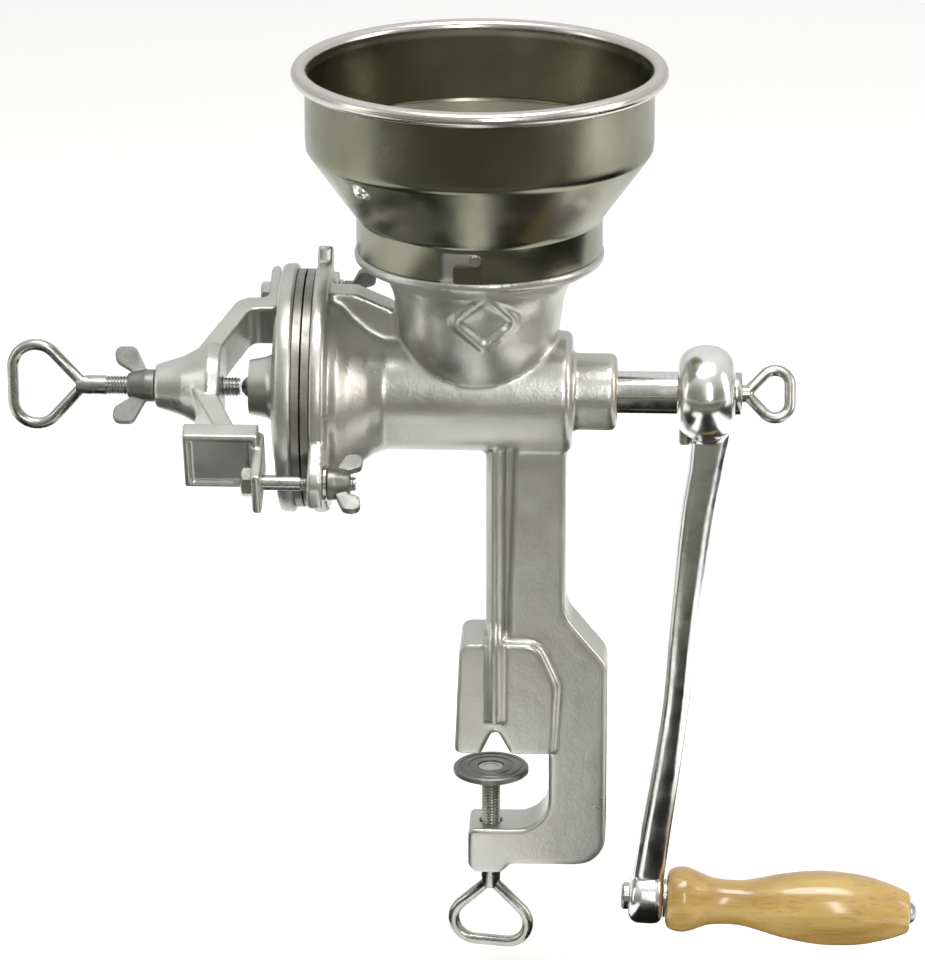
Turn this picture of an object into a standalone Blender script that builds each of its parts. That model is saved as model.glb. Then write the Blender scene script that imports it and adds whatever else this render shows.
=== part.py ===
"""A clamp-on, hand-cranked grain mill of tinned cast iron.

The frame: +Z up, +X along the crank shaft towards the crank, -Y towards the user who faces the
clamp's open side. The origin is on the underside of the clamp's upper jaw, which rests on a table.
Sizes are written in millimetres times MM, so every value is in metres.
"""

import math

import bmesh
import bpy
import numpy as np
from mathutils import Matrix, Vector

MM = 0.001
GAP = 0.3 * MM  # between pieces that touch
WELD = 0.001 * MM
ROUND = 32  # sides of a large round piece
SMALL_ROUND = 16  # sides of a screw or pin

# Driving dimensions
SHAFT_Z = 152 * MM  # height of the crank shaft over the table jaw
SHAFT_R = 8.5 * MM
HOPPER_X = -20.5 * MM  # the hopper's axis
HOPPER_TOP = 287.2 * MM
HOPPER_R = 74.5 * MM  # outside the rolled rim
RIM_ROLL_R = 2.7 * MM  # middle of the sheet, rolled round the wire
SHEET = 0.9 * MM
SKIRT_R = 48.6 * MM  # middle of the sheet
SKIRT_TOP = 227.2 * MM
KNEE_Z = 255.2 * MM  # where the cone meets the straight wall
SKIRT_BOTTOM = 212.2 * MM
SLOT_LOW = 218.3 * MM
SLOT_HIGH = 223.8 * MM
PIN_Z = (SLOT_LOW + SLOT_HIGH) / 2
FLANGE_X = -86 * MM  # the face that the fixed burr lies on
FLANGE_R = 50 * MM
FLANGE_THICK = 6 * MM
BARREL_R = 24.4 * MM
BORE_R = 19.5 * MM
BURR_R = 48 * MM
BURR_THICK = 3 * MM
BURR_CLEARANCE = 0.8 * MM  # between the two burrs at rest
BURR_SCREW_CIRCLE = 38 * MM
BURR_SCREWS = 3
CARRIER_BACK = -113 * MM
BALL_R = 4.5 * MM
BALL_X = -112 * MM
BOLT_CIRCLE = 58 * MM
YOKE_TILT = math.radians(22)  # the line through the two yoke bolts, from level
YOKE_END = -151 * MM
EAR_X = -108 * MM
ADJUST_R = 4 * MM
LOOP_WIRE_R = 2.3 * MM
CLAMP_SCREW_X = -15.5 * MM
CLAMP_SCREW_R = 4 * MM
PAD_TOP = -11 * MM
PAD_R = 15.5 * MM
FRAME_WIDTH = 23 * MM  # of the clamp's arms, along the table edge
JAW_WIDTH = 30 * MM
CRANK_HUB = (59 * MM, 82 * MM)
GRIP_PIVOT = Vector((49 * MM, 0, -69 * MM))
GRIP_TILT = math.radians(2.7)
GRIP_START = 8.5 * MM  # from the pivot, along the grip's axis
GRIP_LENGTH = 101 * MM
ARM_BACK = -7.2 * MM  # the arm's inner side, along the same axis

# Local +Z laid along world +X
ALONG_X = Matrix.Rotation(math.pi / 2, 4, "Y")

for leftover in list(bpy.data.objects):
    bpy.data.objects.remove(leftover, do_unlink=True)
mill = bpy.data.collections.new("grain_mill")
tools = bpy.data.collections.new("cutters")
bpy.context.scene.collection.children.link(mill)
bpy.context.scene.collection.children.link(tools)


def make_material(name, colour, roughness, metallic):
    material = bpy.data.materials.new(name)
    material.use_nodes = True
    shader = material.node_tree.nodes["Principled BSDF"]
    shader.inputs["Base Color"].default_value = (*colour, 1)
    shader.inputs["Roughness"].default_value = roughness
    shader.inputs["Metallic"].default_value = metallic
    return material


TINNED_IRON = make_material("tinned_iron", (0.68, 0.68, 0.64), 0.42, 1)
SHEET_METAL = make_material("sheet_metal", (0.46, 0.46, 0.38), 0.28, 1)
PLATED_STEEL = make_material("plated_steel", (0.52, 0.52, 0.50), 0.3, 1)
BURR_STEEL = make_material("burr_steel", (0.35, 0.35, 0.34), 0.5, 1)
BRIGHT_IRON = make_material("bright_iron", (0.75, 0.75, 0.75), 0.15, 1)
BRONZE = make_material("bronze", (0.55, 0.38, 0.18), 0.35, 1)
WOOD = make_material("wood", (0.62, 0.40, 0.17), 0.35, 0)


# ---------------------------------------------------------------- shapes


def as_solid(obj):
    """The object with its evaluated shape as a plain, welded mesh whose faces point out."""
    bpy.context.scene.collection.objects.link(obj)
    bpy.context.view_layer.update()
    graph = bpy.context.evaluated_depsgraph_get()
    mesh = bpy.data.meshes.new_from_object(obj.evaluated_get(graph))
    shape = bmesh.new()
    shape.from_mesh(mesh)
    bmesh.ops.remove_doubles(shape, verts=shape.verts, dist=WELD)
    bmesh.ops.recalc_face_normals(shape, faces=shape.faces)
    shape.to_mesh(mesh)
    shape.free()
    name = obj.name
    matrix = obj.matrix_world.copy()
    bpy.data.objects.remove(obj)
    solid = bpy.data.objects.new(name, mesh)
    solid.matrix_world = matrix
    return solid


def turned(name, profile, matrix, steps=ROUND):
    """A profile of (radius, height) turned about local Z. It is a ring where no point is on the axis."""
    count = len(profile)
    edges = [(i, i + 1) for i in range(count - 1)]
    if min(radius for radius, _ in profile) > 0:
        edges.append((count - 1, 0))
    mesh = bpy.data.meshes.new(name)
    mesh.from_pydata([(radius, 0, height) for radius, height in profile], edges, [])
    obj = bpy.data.objects.new(name, mesh)
    obj.matrix_world = matrix
    screw = obj.modifiers.new("Turn", "SCREW")
    screw.steps = steps
    screw.render_steps = steps
    screw.use_merge_vertices = True
    screw.merge_threshold = WELD
    return as_solid(obj)


def turned_x(name, profile, steps=ROUND, y=0, z=SHAFT_Z):
    """A profile of (radius, world X) turned about a line along X."""
    return turned(name, profile, Matrix.Translation((0, y, z)) @ ALONG_X, steps)


def rod(name, start, end, radius, steps=SMALL_ROUND, end_radius=None):
    """A round bar, or a cone, from one point to another."""
    start = Vector(start)
    along = Vector(end) - start
    far = radius if end_radius is None else end_radius
    matrix = Matrix.Translation(start) @ along.to_track_quat("Z", "X").to_matrix().to_4x4()
    profile = [(0, along.length), (far, along.length), (radius, 0), (0, 0)]
    return turned(name, profile, matrix, steps)


def block(name, low, high, bevel=0, matrix=None):
    """A box between two corners, with its edges rounded."""
    low = Vector(low)
    high = Vector(high)
    shape = bmesh.new()
    bmesh.ops.create_cube(shape, size=1)
    bmesh.ops.scale(shape, vec=high - low, verts=shape.verts)
    bmesh.ops.translate(shape, vec=(high + low) / 2, verts=shape.verts)
    if bevel:
        bmesh.ops.bevel(
            shape, geom=shape.edges[:], offset=bevel, segments=2, profile=0.5, affect="EDGES"
        )
    mesh = bpy.data.meshes.new(name)
    shape.to_mesh(mesh)
    shape.free()
    obj = bpy.data.objects.new(name, mesh)
    obj.matrix_world = matrix or Matrix.Identity(4)
    return obj


def rounded(corners, steps=4):
    """An outline of (x, y, radius) corners with each corner rounded by an arc."""
    outline = []
    count = len(corners)
    for i, (x, y, radius) in enumerate(corners):
        corner = Vector((x, y))
        if radius == 0:
            outline.append(corner)
            continue
        before = (Vector(corners[i - 1][:2]) - corner).normalized()
        after = (Vector(corners[(i + 1) % count][:2]) - corner).normalized()
        half = before.angle(after) / 2
        centre = corner + (before + after).normalized() * radius / math.sin(half)
        first = corner + before * radius / math.tan(half) - centre
        last = corner + after * radius / math.tan(half) - centre
        turn = first.angle_signed(last)
        for step in range(steps + 1):
            outline.append(centre + Matrix.Rotation(-turn * step / steps, 2) @ first)
    return outline


def smooth_line(stations, steps=2):
    """A Catmull-Rom curve through the stations, in any number of coordinates."""
    points = [np.array(station, float) for station in stations]
    line = []
    for i in range(len(points) - 1):
        a, b = points[max(i - 1, 0)], points[i]
        c, d = points[i + 1], points[min(i + 2, len(points) - 1)]
        for step in range(steps):
            t = step / steps
            line.append(
                b
                + t * (c - a) / 2
                + t**2 * (a - 2.5 * b + 2 * c - d / 2)
                + t**3 * (1.5 * (b - c) + (d - a) / 2)
            )
    return line + [points[-1]]


def curve_object(name, outline, matrix, dimensions):
    curve = bpy.data.curves.new(name, "CURVE")
    curve.dimensions = dimensions
    spline = curve.splines.new("POLY")
    spline.points.add(len(outline) - 1)
    for point, place in zip(spline.points, outline):
        point.co = (place[0], place[1], 0, 1)
    spline.use_cyclic_u = True
    obj = bpy.data.objects.new(name, curve)
    obj.matrix_world = matrix
    return obj


def plate(name, outline, thickness, matrix):
    """A flat outline in the local XY plane, thickened evenly to both sides."""
    obj = curve_object(name, outline, matrix, "2D")
    obj.data.fill_mode = "BOTH"
    obj.data.extrude = thickness / 2
    return as_solid(obj)


def wire_ring(name, outline, radius, matrix):
    """A closed wire bent round an outline in the local XY plane."""
    obj = curve_object(name, outline, matrix, "3D")
    obj.data.bevel_depth = radius
    obj.data.bevel_resolution = 2
    return as_solid(obj)


# Local X, Y laid on world X, Z: for outlines seen from the front
UPRIGHT = Matrix.Rotation(math.pi / 2, 4, "X")
# The same, on the shaft's axis
ON_SHAFT = Matrix.Translation((0, 0, SHAFT_Z))


def boolean(target, tool, operation):
    tools.objects.link(tool)
    tool.hide_render = True
    tool.display_type = "WIRE"
    modifier = target.modifiers.new(tool.name, "BOOLEAN")
    modifier.operation = operation
    modifier.object = tool


def join(target, *others):
    for other in others:
        boolean(target, other, "UNION")


def cut(target, *others):
    for other in others:
        boolean(target, other, "DIFFERENCE")


def add_part(obj, material, smooth_angle=40):
    mill.objects.link(obj)
    obj.data.materials.clear()
    obj.data.materials.append(material)
    obj.data.shade_smooth()
    obj.data.set_sharp_from_angle(angle=math.radians(smooth_angle))
    return obj


def around_shaft(angle, radius):
    """(y, z) of a point at this radius from the shaft, the angle counted from +Y towards +Z."""
    return radius * math.cos(angle), SHAFT_Z + radius * math.sin(angle)


# ---------------------------------------------------------------- body


def body_barrel():
    """Flange, barrel and nose: one turned shape along the shaft."""
    flange_back = FLANGE_X + FLANGE_THICK
    return turned_x(
        "main_body",
        [
            (0, 35 * MM),
            (13.5 * MM, 35 * MM),
            (15.5 * MM, 33 * MM),
            (15.5 * MM, 17 * MM),
            (22.5 * MM, 17 * MM),
            (BARREL_R, 14.5 * MM),
            (BARREL_R, -60 * MM),
            (30 * MM, -69 * MM),
            (38 * MM, -76 * MM),
            (40 * MM, flange_back),
            (48.5 * MM, flange_back),
            (FLANGE_R, flange_back - 1.5 * MM),
            (FLANGE_R, FLANGE_X),
            (0, FLANGE_X),
        ],
    )


def body_cup():
    """The bowl under the hopper, with the collar that the hopper's skirt slides over."""
    return turned(
        "cup",
        [
            (0, 224.3 * MM),
            (46.8 * MM, 224.3 * MM),
            (47.6 * MM, 223.5 * MM),
            (47.6 * MM, 211.8 * MM),
            (49.8 * MM, 211.8 * MM),
            (49.8 * MM, 208.3 * MM),
            (46 * MM, 205.8 * MM),
            (38 * MM, 201.8 * MM),
            (34.5 * MM, 195.8 * MM),
            (33 * MM, 184 * MM),
            (31.5 * MM, 176 * MM),
            (28 * MM, 167.5 * MM),
            (21 * MM, 159 * MM),
            (0, 154 * MM),
        ],
        Matrix.Translation((HOPPER_X, 0, 0)),
    )


def cup_hollow():
    return turned(
        "cup_hollow",
        [
            (0, 230 * MM),
            (45 * MM, 230 * MM),
            (45 * MM, 215.8 * MM),
            (39 * MM, 208.8 * MM),
            (31 * MM, 201.8 * MM),
            (29.3 * MM, 186 * MM),
            (27 * MM, 176 * MM),
            (20 * MM, 166 * MM),
            (18 * MM, 160 * MM),
            (18 * MM, 151 * MM),
            (0, 151 * MM),
        ],
        Matrix.Translation((HOPPER_X, 0, 0)),
    )


def body_frame():
    """The pedestal and the clamp's C, as one upright plate."""
    corners = [
        (-17.4, 136, 0),
        (14.7, 136, 0),
        (14.7, 59.5, 14),
        (32, 38.5, 8),
        (32, -50.4, 12),
        (-7, -50.4, 3),
        (-11, -54.6, 3),
        (-24.6, -54.6, 5),
        (-24.6, -35, 2),
        (8.4, -35, 13),
        (8.4, 8, 0),
        (-17.4, 8, 0),
    ]
    outline = rounded([(x * MM, z * MM, radius * MM) for x, z, radius in corners])
    return plate("clamp_frame", outline, FRAME_WIDTH, UPRIGHT)


def upper_jaw():
    """The wide block over the table, with a notch across its underside."""
    corners = [
        (-30, 0, 2),
        (-19, 0, 1),
        (-13.5, 12, 1.5),
        (-7, 0, 1),
        (10.5, 0, 0),
        (12, 30, 8),
        (4, 48, 8),
        (-28, 48, 4),
    ]
    outline = rounded([(x * MM, z * MM, radius * MM) for x, z, radius in corners], steps=3)
    return plate("upper_jaw", outline, JAW_WIDTH, UPRIGHT)


def yoke_lug(side):
    """An ear of the flange for a yoke bolt: side is -1 at the front, +1 at the back."""
    outline = rounded(
        [
            (side * 40 * MM, -14 * MM, 0),
            (side * 67 * MM, -9 * MM, 8.9 * MM),
            (side * 67 * MM, 9 * MM, 8.9 * MM),
            (side * 40 * MM, 14 * MM, 0),
        ]
    )
    matrix = (
        Matrix.Translation((FLANGE_X + FLANGE_THICK / 2, 0, SHAFT_Z))
        @ Matrix.Rotation(YOKE_TILT, 4, "X")
        @ Matrix.Rotation(math.pi / 2, 4, "Z")
        @ Matrix.Rotation(math.pi / 2, 4, "X")
    )
    return plate(f"flange_lug_{side}", outline, FLANGE_THICK, matrix)


def top_lug():
    """The small upright ear on top of the flange."""
    return block(
        "top_lug",
        (FLANGE_X, -6 * MM, SHAFT_Z + 40 * MM),
        (FLANGE_X + FLANGE_THICK, 6 * MM, SHAFT_Z + 57 * MM),
        bevel=2.4 * MM,
        matrix=ON_SHAFT @ Matrix.Rotation(math.radians(-20), 4, "X") @ ON_SHAFT.inverted(),
    )


def gusset():
    """The rib between the flange and the cup."""
    corners = [
        (-84, 158, 0),
        (-84, 194, 0),
        (-70, 194, 4),
        (-56, 188, 6),
        (-40, 176, 0),
        (-40, 158, 0),
    ]
    outline = rounded([(x * MM, z * MM, radius * MM) for x, z, radius in corners])
    return plate("gusset", outline, 15 * MM, UPRIGHT)


def pedestal_ribs():
    """The upright bead near the pedestal's open edge, on both faces."""
    ribs = []
    for side in (-1, 1):
        y = side * FRAME_WIDTH / 2
        ribs.append(
            rod(f"bead_{side}", (-14 * MM, y, 135 * MM), (-14 * MM, y, 14 * MM), 3.2 * MM, 12)
        )
    return ribs


def pedestal_grooves():
    """The shallow upright panel between the bead and the pedestal's back edge, on both faces."""
    grooves = []
    for side in (-1, 1):
        face = side * FRAME_WIDTH / 2
        grooves.append(
            block(
                f"groove_{side}",
                (-10.5 * MM, min(face, face - side * 3 * MM) - (side < 0) * 2 * MM, 52 * MM),
                (7 * MM, max(face, face - side * 3 * MM) + (side > 0) * 2 * MM, 120 * MM),
            )
        )
    return grooves


def screw_places():
    """The (y, z) of the burr screws."""
    for i in range(BURR_SCREWS):
        yield around_shaft(math.radians(90) + i * math.tau / BURR_SCREWS, BURR_SCREW_CIRCLE)


def main_body():
    body = body_barrel()
    join(body, body_cup(), body_frame(), upper_jaw(), gusset(), top_lug())
    join(body, yoke_lug(-1), yoke_lug(1))
    cut(body, *pedestal_grooves())
    join(body, *pedestal_ribs())
    bore = [
        (0, 40 * MM),
        (11.3 * MM, 40 * MM),
        (11.3 * MM, 6 * MM),
        (9.4 * MM, 6 * MM),
        (9.4 * MM, -4 * MM),
        (BORE_R, -7 * MM),
        (BORE_R, FLANGE_X - 5 * MM),
        (0, FLANGE_X - 5 * MM),
    ]
    cut(body, cup_hollow(), turned_x("barrel_bore", bore))
    for side in (-1, 1):
        y, z = around_shaft(YOKE_TILT, side * BOLT_CIRCLE)
        cut(
            body,
            rod(f"bolt_hole_{side}", (FLANGE_X - MM, y, z), (FLANGE_X + 8 * MM, y, z), 3.3 * MM),
            rod(
                f"pin_hole_{side}",
                (HOPPER_X, side * 44 * MM, PIN_Z),
                (HOPPER_X, side * 60 * MM, PIN_Z),
                2.3 * MM,
                12,
            ),
        )
    for i, (y, z) in enumerate(screw_places()):
        hole = rod(f"burr_hole_{i}", (FLANGE_X - MM, y, z), (FLANGE_X + 5 * MM, y, z), 2.3 * MM, 12)
        cut(body, hole)
    clamp_hole = rod(
        "clamp_hole",
        (CLAMP_SCREW_X, 0, -60 * MM),
        (CLAMP_SCREW_X, 0, -30 * MM),
        CLAMP_SCREW_R + GAP,
    )
    cut(body, clamp_hole)
    add_part(body, TINNED_IRON)


def bayonet_pins():
    for name, side in (("bayonet_pin_front", -1), ("bayonet_pin_rear", 1)):
        pin = rod(
            name,
            (HOPPER_X, side * 44.2 * MM, PIN_Z),
            (HOPPER_X, side * 50.4 * MM, PIN_Z),
            2 * MM,
            12,
        )
        add_part(pin, PLATED_STEEL)


def shaft_bush():
    ring = [
        (11 * MM, 35 * MM),
        (11 * MM, 6.3 * MM),
        (SHAFT_R + GAP, 6.3 * MM),
        (SHAFT_R + GAP, 35 * MM),
    ]
    add_part(turned_x("shaft_bush", ring, 32), BRONZE)


# ---------------------------------------------------------------- burrs


def burr(name, back, direction, hole):
    """A flat grinding ring. It stands on its back face and grinds at the other one."""
    face = back + direction * BURR_THICK
    ring = [(BURR_R, back), (BURR_R, face), (hole, face), (hole, back)]
    obj = turned_x(name, ring)
    for i, (y, z) in enumerate(screw_places()):
        sink = rod(
            f"{name}_sink_{i}",
            (face + direction * MM, y, z),
            (back - direction * MM, y, z),
            5.2 * MM,
            12,
            end_radius=2.3 * MM,
        )
        cut(obj, sink)
    add_part(obj, BURR_STEEL)
    return face


def burr_screws(name, back, direction):
    """Countersunk screws, sunk below the grinding face."""
    head = back + direction * (BURR_THICK - 0.8 * MM)
    tip = back - direction * 4.5 * MM
    for i, (y, z) in enumerate(screw_places()):
        profile = [
            (0, head),
            (3.7 * MM, head),
            (1.9 * MM, head - direction * 2 * MM),
            (1.9 * MM, tip),
            (0, tip),
        ]
        add_part(turned_x(f"{name}_{i + 1}", profile, 12, y, z), PLATED_STEEL)


def burrs():
    fixed_face = burr("fixed_burr", FLANGE_X - GAP, -1, BORE_R)
    burr_screws("fixed_burr_screw", FLANGE_X - GAP, -1)
    turning_back = fixed_face - BURR_CLEARANCE - BURR_THICK
    burr("turning_burr", turning_back, 1, 12 * MM)
    burr_screws("turning_burr_screw", turning_back, 1)
    return turning_back - GAP


def burr_carrier(front):
    """The dished disc behind the turning burr, with a square socket and a seat for the ball."""
    profile = [
        (0, front),
        (FLANGE_R, front),
        (FLANGE_R, front - 3.6 * MM),
        (47.5 * MM, front - 5.6 * MM),
        (38 * MM, front - 9 * MM),
        (16 * MM, front - 9 * MM),
        (12.5 * MM, front - 12 * MM),
        (11 * MM, CARRIER_BACK),
        (0, CARRIER_BACK),
    ]
    carrier = turned_x("burr_carrier", profile)
    half = 6.3 * MM
    cut(
        carrier,
        block("socket", (-104.5 * MM, -half, SHAFT_Z - half), (front + MM, half, SHAFT_Z + half)),
        rod(
            "ball_seat",
            (CARRIER_BACK - MM, 0, SHAFT_Z),
            (-107.2 * MM, 0, SHAFT_Z),
            BALL_R + GAP,
        ),
    )
    for i, (y, z) in enumerate(screw_places()):
        hole = rod(f"carrier_hole_{i}", (front + MM, y, z), (front - 5 * MM, y, z), 2.3 * MM, 12)
        cut(carrier, hole)
    add_part(carrier, TINNED_IRON)


def thrust_ball():
    shape = bmesh.new()
    bmesh.ops.create_uvsphere(shape, u_segments=16, v_segments=8, radius=BALL_R)
    mesh = bpy.data.meshes.new("thrust_ball")
    shape.to_mesh(mesh)
    shape.free()
    ball = bpy.data.objects.new("thrust_ball", mesh)
    ball.location = (BALL_X, 0, SHAFT_Z)
    add_part(ball, PLATED_STEEL)


# ---------------------------------------------------------------- auger and crank


def auger_flight():
    """The feed screw's flight: one tall section wound along the shaft."""
    pitch = 26 * MM
    turns = 2.75
    inner = 5 * MM
    outer = 18.6 * MM
    root = 3 * MM
    edge = 1.6 * MM
    steps = 16
    mesh = bpy.data.meshes.new("auger_flight")
    section = [(inner, -root), (outer, -edge), (outer, edge), (inner, root)]
    mesh.from_pydata([(r, 0, h) for r, h in section], [(0, 1), (1, 2), (2, 3), (3, 0)], [])
    flight = bpy.data.objects.new("auger_flight", mesh)
    flight.matrix_world = Matrix.Translation((-80.5 * MM, 0, SHAFT_Z)) @ ALONG_X
    screw = flight.modifiers.new("Wind", "SCREW")
    screw.angle = math.tau * turns
    screw.screw_offset = pitch * turns
    screw.steps = round(steps * turns)
    screw.render_steps = screw.steps
    wound = as_solid(flight)
    shape = bmesh.new()
    shape.from_mesh(wound.data)
    ends = [edge for edge in shape.edges if edge.is_boundary]
    bmesh.ops.holes_fill(shape, edges=ends, sides=4)
    bmesh.ops.recalc_face_normals(shape, faces=shape.faces)
    shape.to_mesh(wound.data)
    shape.free()
    return wound


def auger():
    shaft = [
        (0, 81 * MM),
        (7.7 * MM, 81 * MM),
        (SHAFT_R, 80.2 * MM),
        (SHAFT_R, -84 * MM),
        (0, -84 * MM),
    ]
    obj = turned_x("auger_shaft", shaft, 32)
    half = 6 * MM
    shank = block("shank", (-104.2 * MM, -half, SHAFT_Z - half), (-80 * MM, half, SHAFT_Z + half))
    join(obj, auger_flight(), shank)
    cut(obj, rod("shaft_tap", (64 * MM, 0, SHAFT_Z), (83 * MM, 0, SHAFT_Z), 3.3 * MM))
    add_part(obj, PLATED_STEEL)


def arm_outline():
    """The arm seen from the front: a centreline with its half width to each side."""
    stations = [
        (70.5, 152, 11),
        (70.8, 140, 9.2),
        (71.2, 131, 7.8),
        (70.6, 122, 7.2),
        (67.5, 99, 6.9),
        (64.1, 66, 6.3),
        (62.3, 46, 5.9),
        (61.3, 32, 5.7),
        (60.1, 18, 5.6),
        (58.7, 6, 5.7),
        (56.9, -8, 5.9),
        (54.8, -23, 6.1),
        (52.7, -38, 6.3),
        (50.7, -54, 6.4),
        (49, -69, 6.4),
    ]
    centre = smooth_line(stations)
    left = []
    right = []
    for i, (x, z, half) in enumerate(centre):
        before = Vector(centre[max(i - 1, 0)][:2])
        after = Vector(centre[min(i + 1, len(centre) - 1)][:2])
        across = (after - before).normalized().orthogonal()
        left.append((Vector((x, z)) + across * half) * MM)
        right.append((Vector((x, z)) - across * half) * MM)
    return left + right[::-1]


def grip_place():
    """Local +Z along the grip's axis, from its pivot in the arm."""
    return (
        Matrix.Translation(GRIP_PIVOT) @ Matrix.Rotation(math.pi / 2 + GRIP_TILT, 4, "Y")
    )


def crank_arm():
    start, end = CRANK_HUB
    hub = [
        (0, end),
        (12 * MM, end),
        (16.4 * MM, end - 2.4 * MM),
        (18.9 * MM, end - 7 * MM),
        (19.5 * MM, (start + end) / 2),
        (18.9 * MM, start + 7 * MM),
        (16.4 * MM, start + 2.4 * MM),
        (12 * MM, start),
        (0, start),
    ]
    crank = turned_x("crank_arm", hub)
    arm = plate("arm", arm_outline(), 11 * MM, UPRIGHT)
    boss = [
        (0, 7 * MM),
        (9.5 * MM, 7 * MM),
        (11 * MM, 5.5 * MM),
        (11 * MM, -4.5 * MM),
        (9.5 * MM, -6 * MM),
        (0, -6 * MM),
    ]
    join(crank, arm, turned("arm_boss", boss, grip_place(), 28))
    pin_hole = [(0, 12 * MM), (3.3 * MM, 12 * MM), (3.3 * MM, -12 * MM), (0, -12 * MM)]
    cut(
        crank,
        rod("hub_bore", (start - 5 * MM, 0, SHAFT_Z), (end + 5 * MM, 0, SHAFT_Z), SHAFT_R + GAP, 32),
        turned("grip_pin_hole", pin_hole, grip_place(), SMALL_ROUND),
        rod("set_hole", (62.3 * MM, 0, 150 * MM), (62.3 * MM, 0, 125 * MM), 2.8 * MM, 12),
    )
    add_part(crank, BRIGHT_IRON)


def crank_set_screw():
    top = SHAFT_Z - SHAFT_R - GAP
    screw = rod("crank_set_screw", (62.3 * MM, 0, top), (62.3 * MM, 0, 130.5 * MM), 2.5 * MM, 12)
    add_part(screw, PLATED_STEEL)


def ring_handle(name, length, width, matrix):
    """A wire ring like a rounded triangle. Its tip is at the origin and it opens along local +X."""
    far = length - LOOP_WIRE_R
    bend = width / 4
    centre = Vector((far - bend, width / 2 - LOOP_WIRE_R - bend))
    spread = math.atan2(centre.y, centre.x) + math.asin(bend / centre.length)
    side = far * math.tan(spread)
    outline = rounded([(0, 0, 2.5 * MM), (far, side, bend), (far, -side, bend)])
    return wire_ring(name, outline, LOOP_WIRE_R, matrix)


def crank_thumb_screw():
    collar = CRANK_HUB[1] + GAP
    profile = [
        (0, 89 * MM),
        (3.2 * MM, 89 * MM),
        (3.2 * MM, collar + 2.5 * MM),
        (8.5 * MM, collar + 2 * MM),
        (8.5 * MM, collar),
        (3 * MM, collar),
        (3 * MM, 66 * MM),
        (0, 66 * MM),
    ]
    screw = turned_x("crank_thumb_screw", profile, SMALL_ROUND)
    place = (
        Matrix.Translation((86.5 * MM, 0, SHAFT_Z))
        @ Matrix.Rotation(math.radians(-30), 4, "X")
        @ UPRIGHT
    )
    join(screw, ring_handle("crank_ring", 20 * MM, 24 * MM, place))
    add_part(screw, PLATED_STEEL)


def grip_pin():
    """The pin through the arm and the grip, with a head at the grip's outer end."""
    end = GRIP_START + GRIP_LENGTH + GAP
    profile = [
        (0, end + 3 * MM),
        (3.2 * MM, end + 2.6 * MM),
        (4.6 * MM, end),
        (3 * MM, end),
        (3 * MM, ARM_BACK - 3 * MM),
        (0, ARM_BACK - 3 * MM),
    ]
    add_part(turned("grip_pin", profile, grip_place(), SMALL_ROUND), PLATED_STEEL)


def grip_pin_nut():
    """The round nut that holds the pin at the arm's inner side."""
    ring = [
        (5.6 * MM, ARM_BACK),
        (5.6 * MM, ARM_BACK - 2 * MM),
        (4.6 * MM, ARM_BACK - 3 * MM),
        (3 * MM + GAP, ARM_BACK - 3 * MM),
        (3 * MM + GAP, ARM_BACK),
    ]
    add_part(turned("grip_pin_nut", ring, grip_place(), SMALL_ROUND), PLATED_STEEL)


def grip_washer():
    ring = [(8 * MM, 8.2 * MM), (8 * MM, 7.3 * MM), (3.3 * MM, 7.3 * MM), (3.3 * MM, 8.2 * MM)]
    add_part(turned("grip_washer", ring, grip_place(), SMALL_ROUND), PLATED_STEEL)


def grip():
    """The turned wooden grip: a collar, a waist and a long belly."""
    outside = [
        (0, 10.5),
        (2, 12.8),
        (8, 13.5),
        (12, 12.3),
        (17, 10.3),
        (24, 9.3),
        (33, 9.7),
        (48, 13.2),
        (60, 15),
        (70, 15.3),
        (82, 14.2),
        (93, 11.3),
        (101, 7.9),
    ]
    bore = 3.3 * MM
    profile = [(r * MM, GRIP_START + x * MM) for x, r in outside]
    profile += [(bore, GRIP_START + GRIP_LENGTH), (bore, GRIP_START)]
    add_part(turned("grip", profile, grip_place(), 24), WOOD)


# ---------------------------------------------------------------- yoke and adjustment


def yoke_matrix():
    return ON_SHAFT @ Matrix.Rotation(YOKE_TILT, 4, "X")


def yoke():
    """A bridge over the burrs: a conical hub, two swept arms and two ears for the bolts."""
    hub = [
        (0, -124 * MM),
        (17 * MM, -124 * MM),
        (18 * MM, -129 * MM),
        (12 * MM, -140 * MM),
        (9.5 * MM, -148 * MM),
        (8.7 * MM, YOKE_END),
        (0, YOKE_END),
    ]
    obj = turned_x("yoke", hub)
    for side in (-1, 1):
        corners = [
            (-137, -3, 0),
            (-135, 12, 6),
            (-120, 45, 7),
            (-108, 46, 3),
            (-108, 66, 2),
            (-104, 66, 1.5),
            (-104, 38, 3),
            (-115, 38, 5),
            (-126, 12, 5),
            (-126, -3, 0),
        ]
        outline = rounded([(x * MM, side * y * MM, radius * MM) for x, y, radius in corners], 3)
        join(obj, plate(f"yoke_arm_{side}", outline, 19 * MM, yoke_matrix()))
    panel = block(
        "yoke_panel",
        (-136 * MM, -48 * MM, -12 * MM),
        (EAR_X + 2 * MM, -40 * MM, 15 * MM),
        bevel=1.5 * MM,
        matrix=yoke_matrix(),
    )
    join(obj, panel)
    bore = rod(
        "adjust_bore",
        (YOKE_END - 5 * MM, 0, SHAFT_Z),
        (-120 * MM, 0, SHAFT_Z),
        ADJUST_R + GAP,
    )
    cut(obj, bore)
    for side in (-1, 1):
        y, z = around_shaft(YOKE_TILT, side * BOLT_CIRCLE)
        hole = rod(f"ear_hole_{side}", (EAR_X - 9 * MM, y, z), (-100 * MM, y, z), 3.3 * MM)
        cut(obj, hole)
    add_part(obj, TINNED_IRON)


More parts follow.
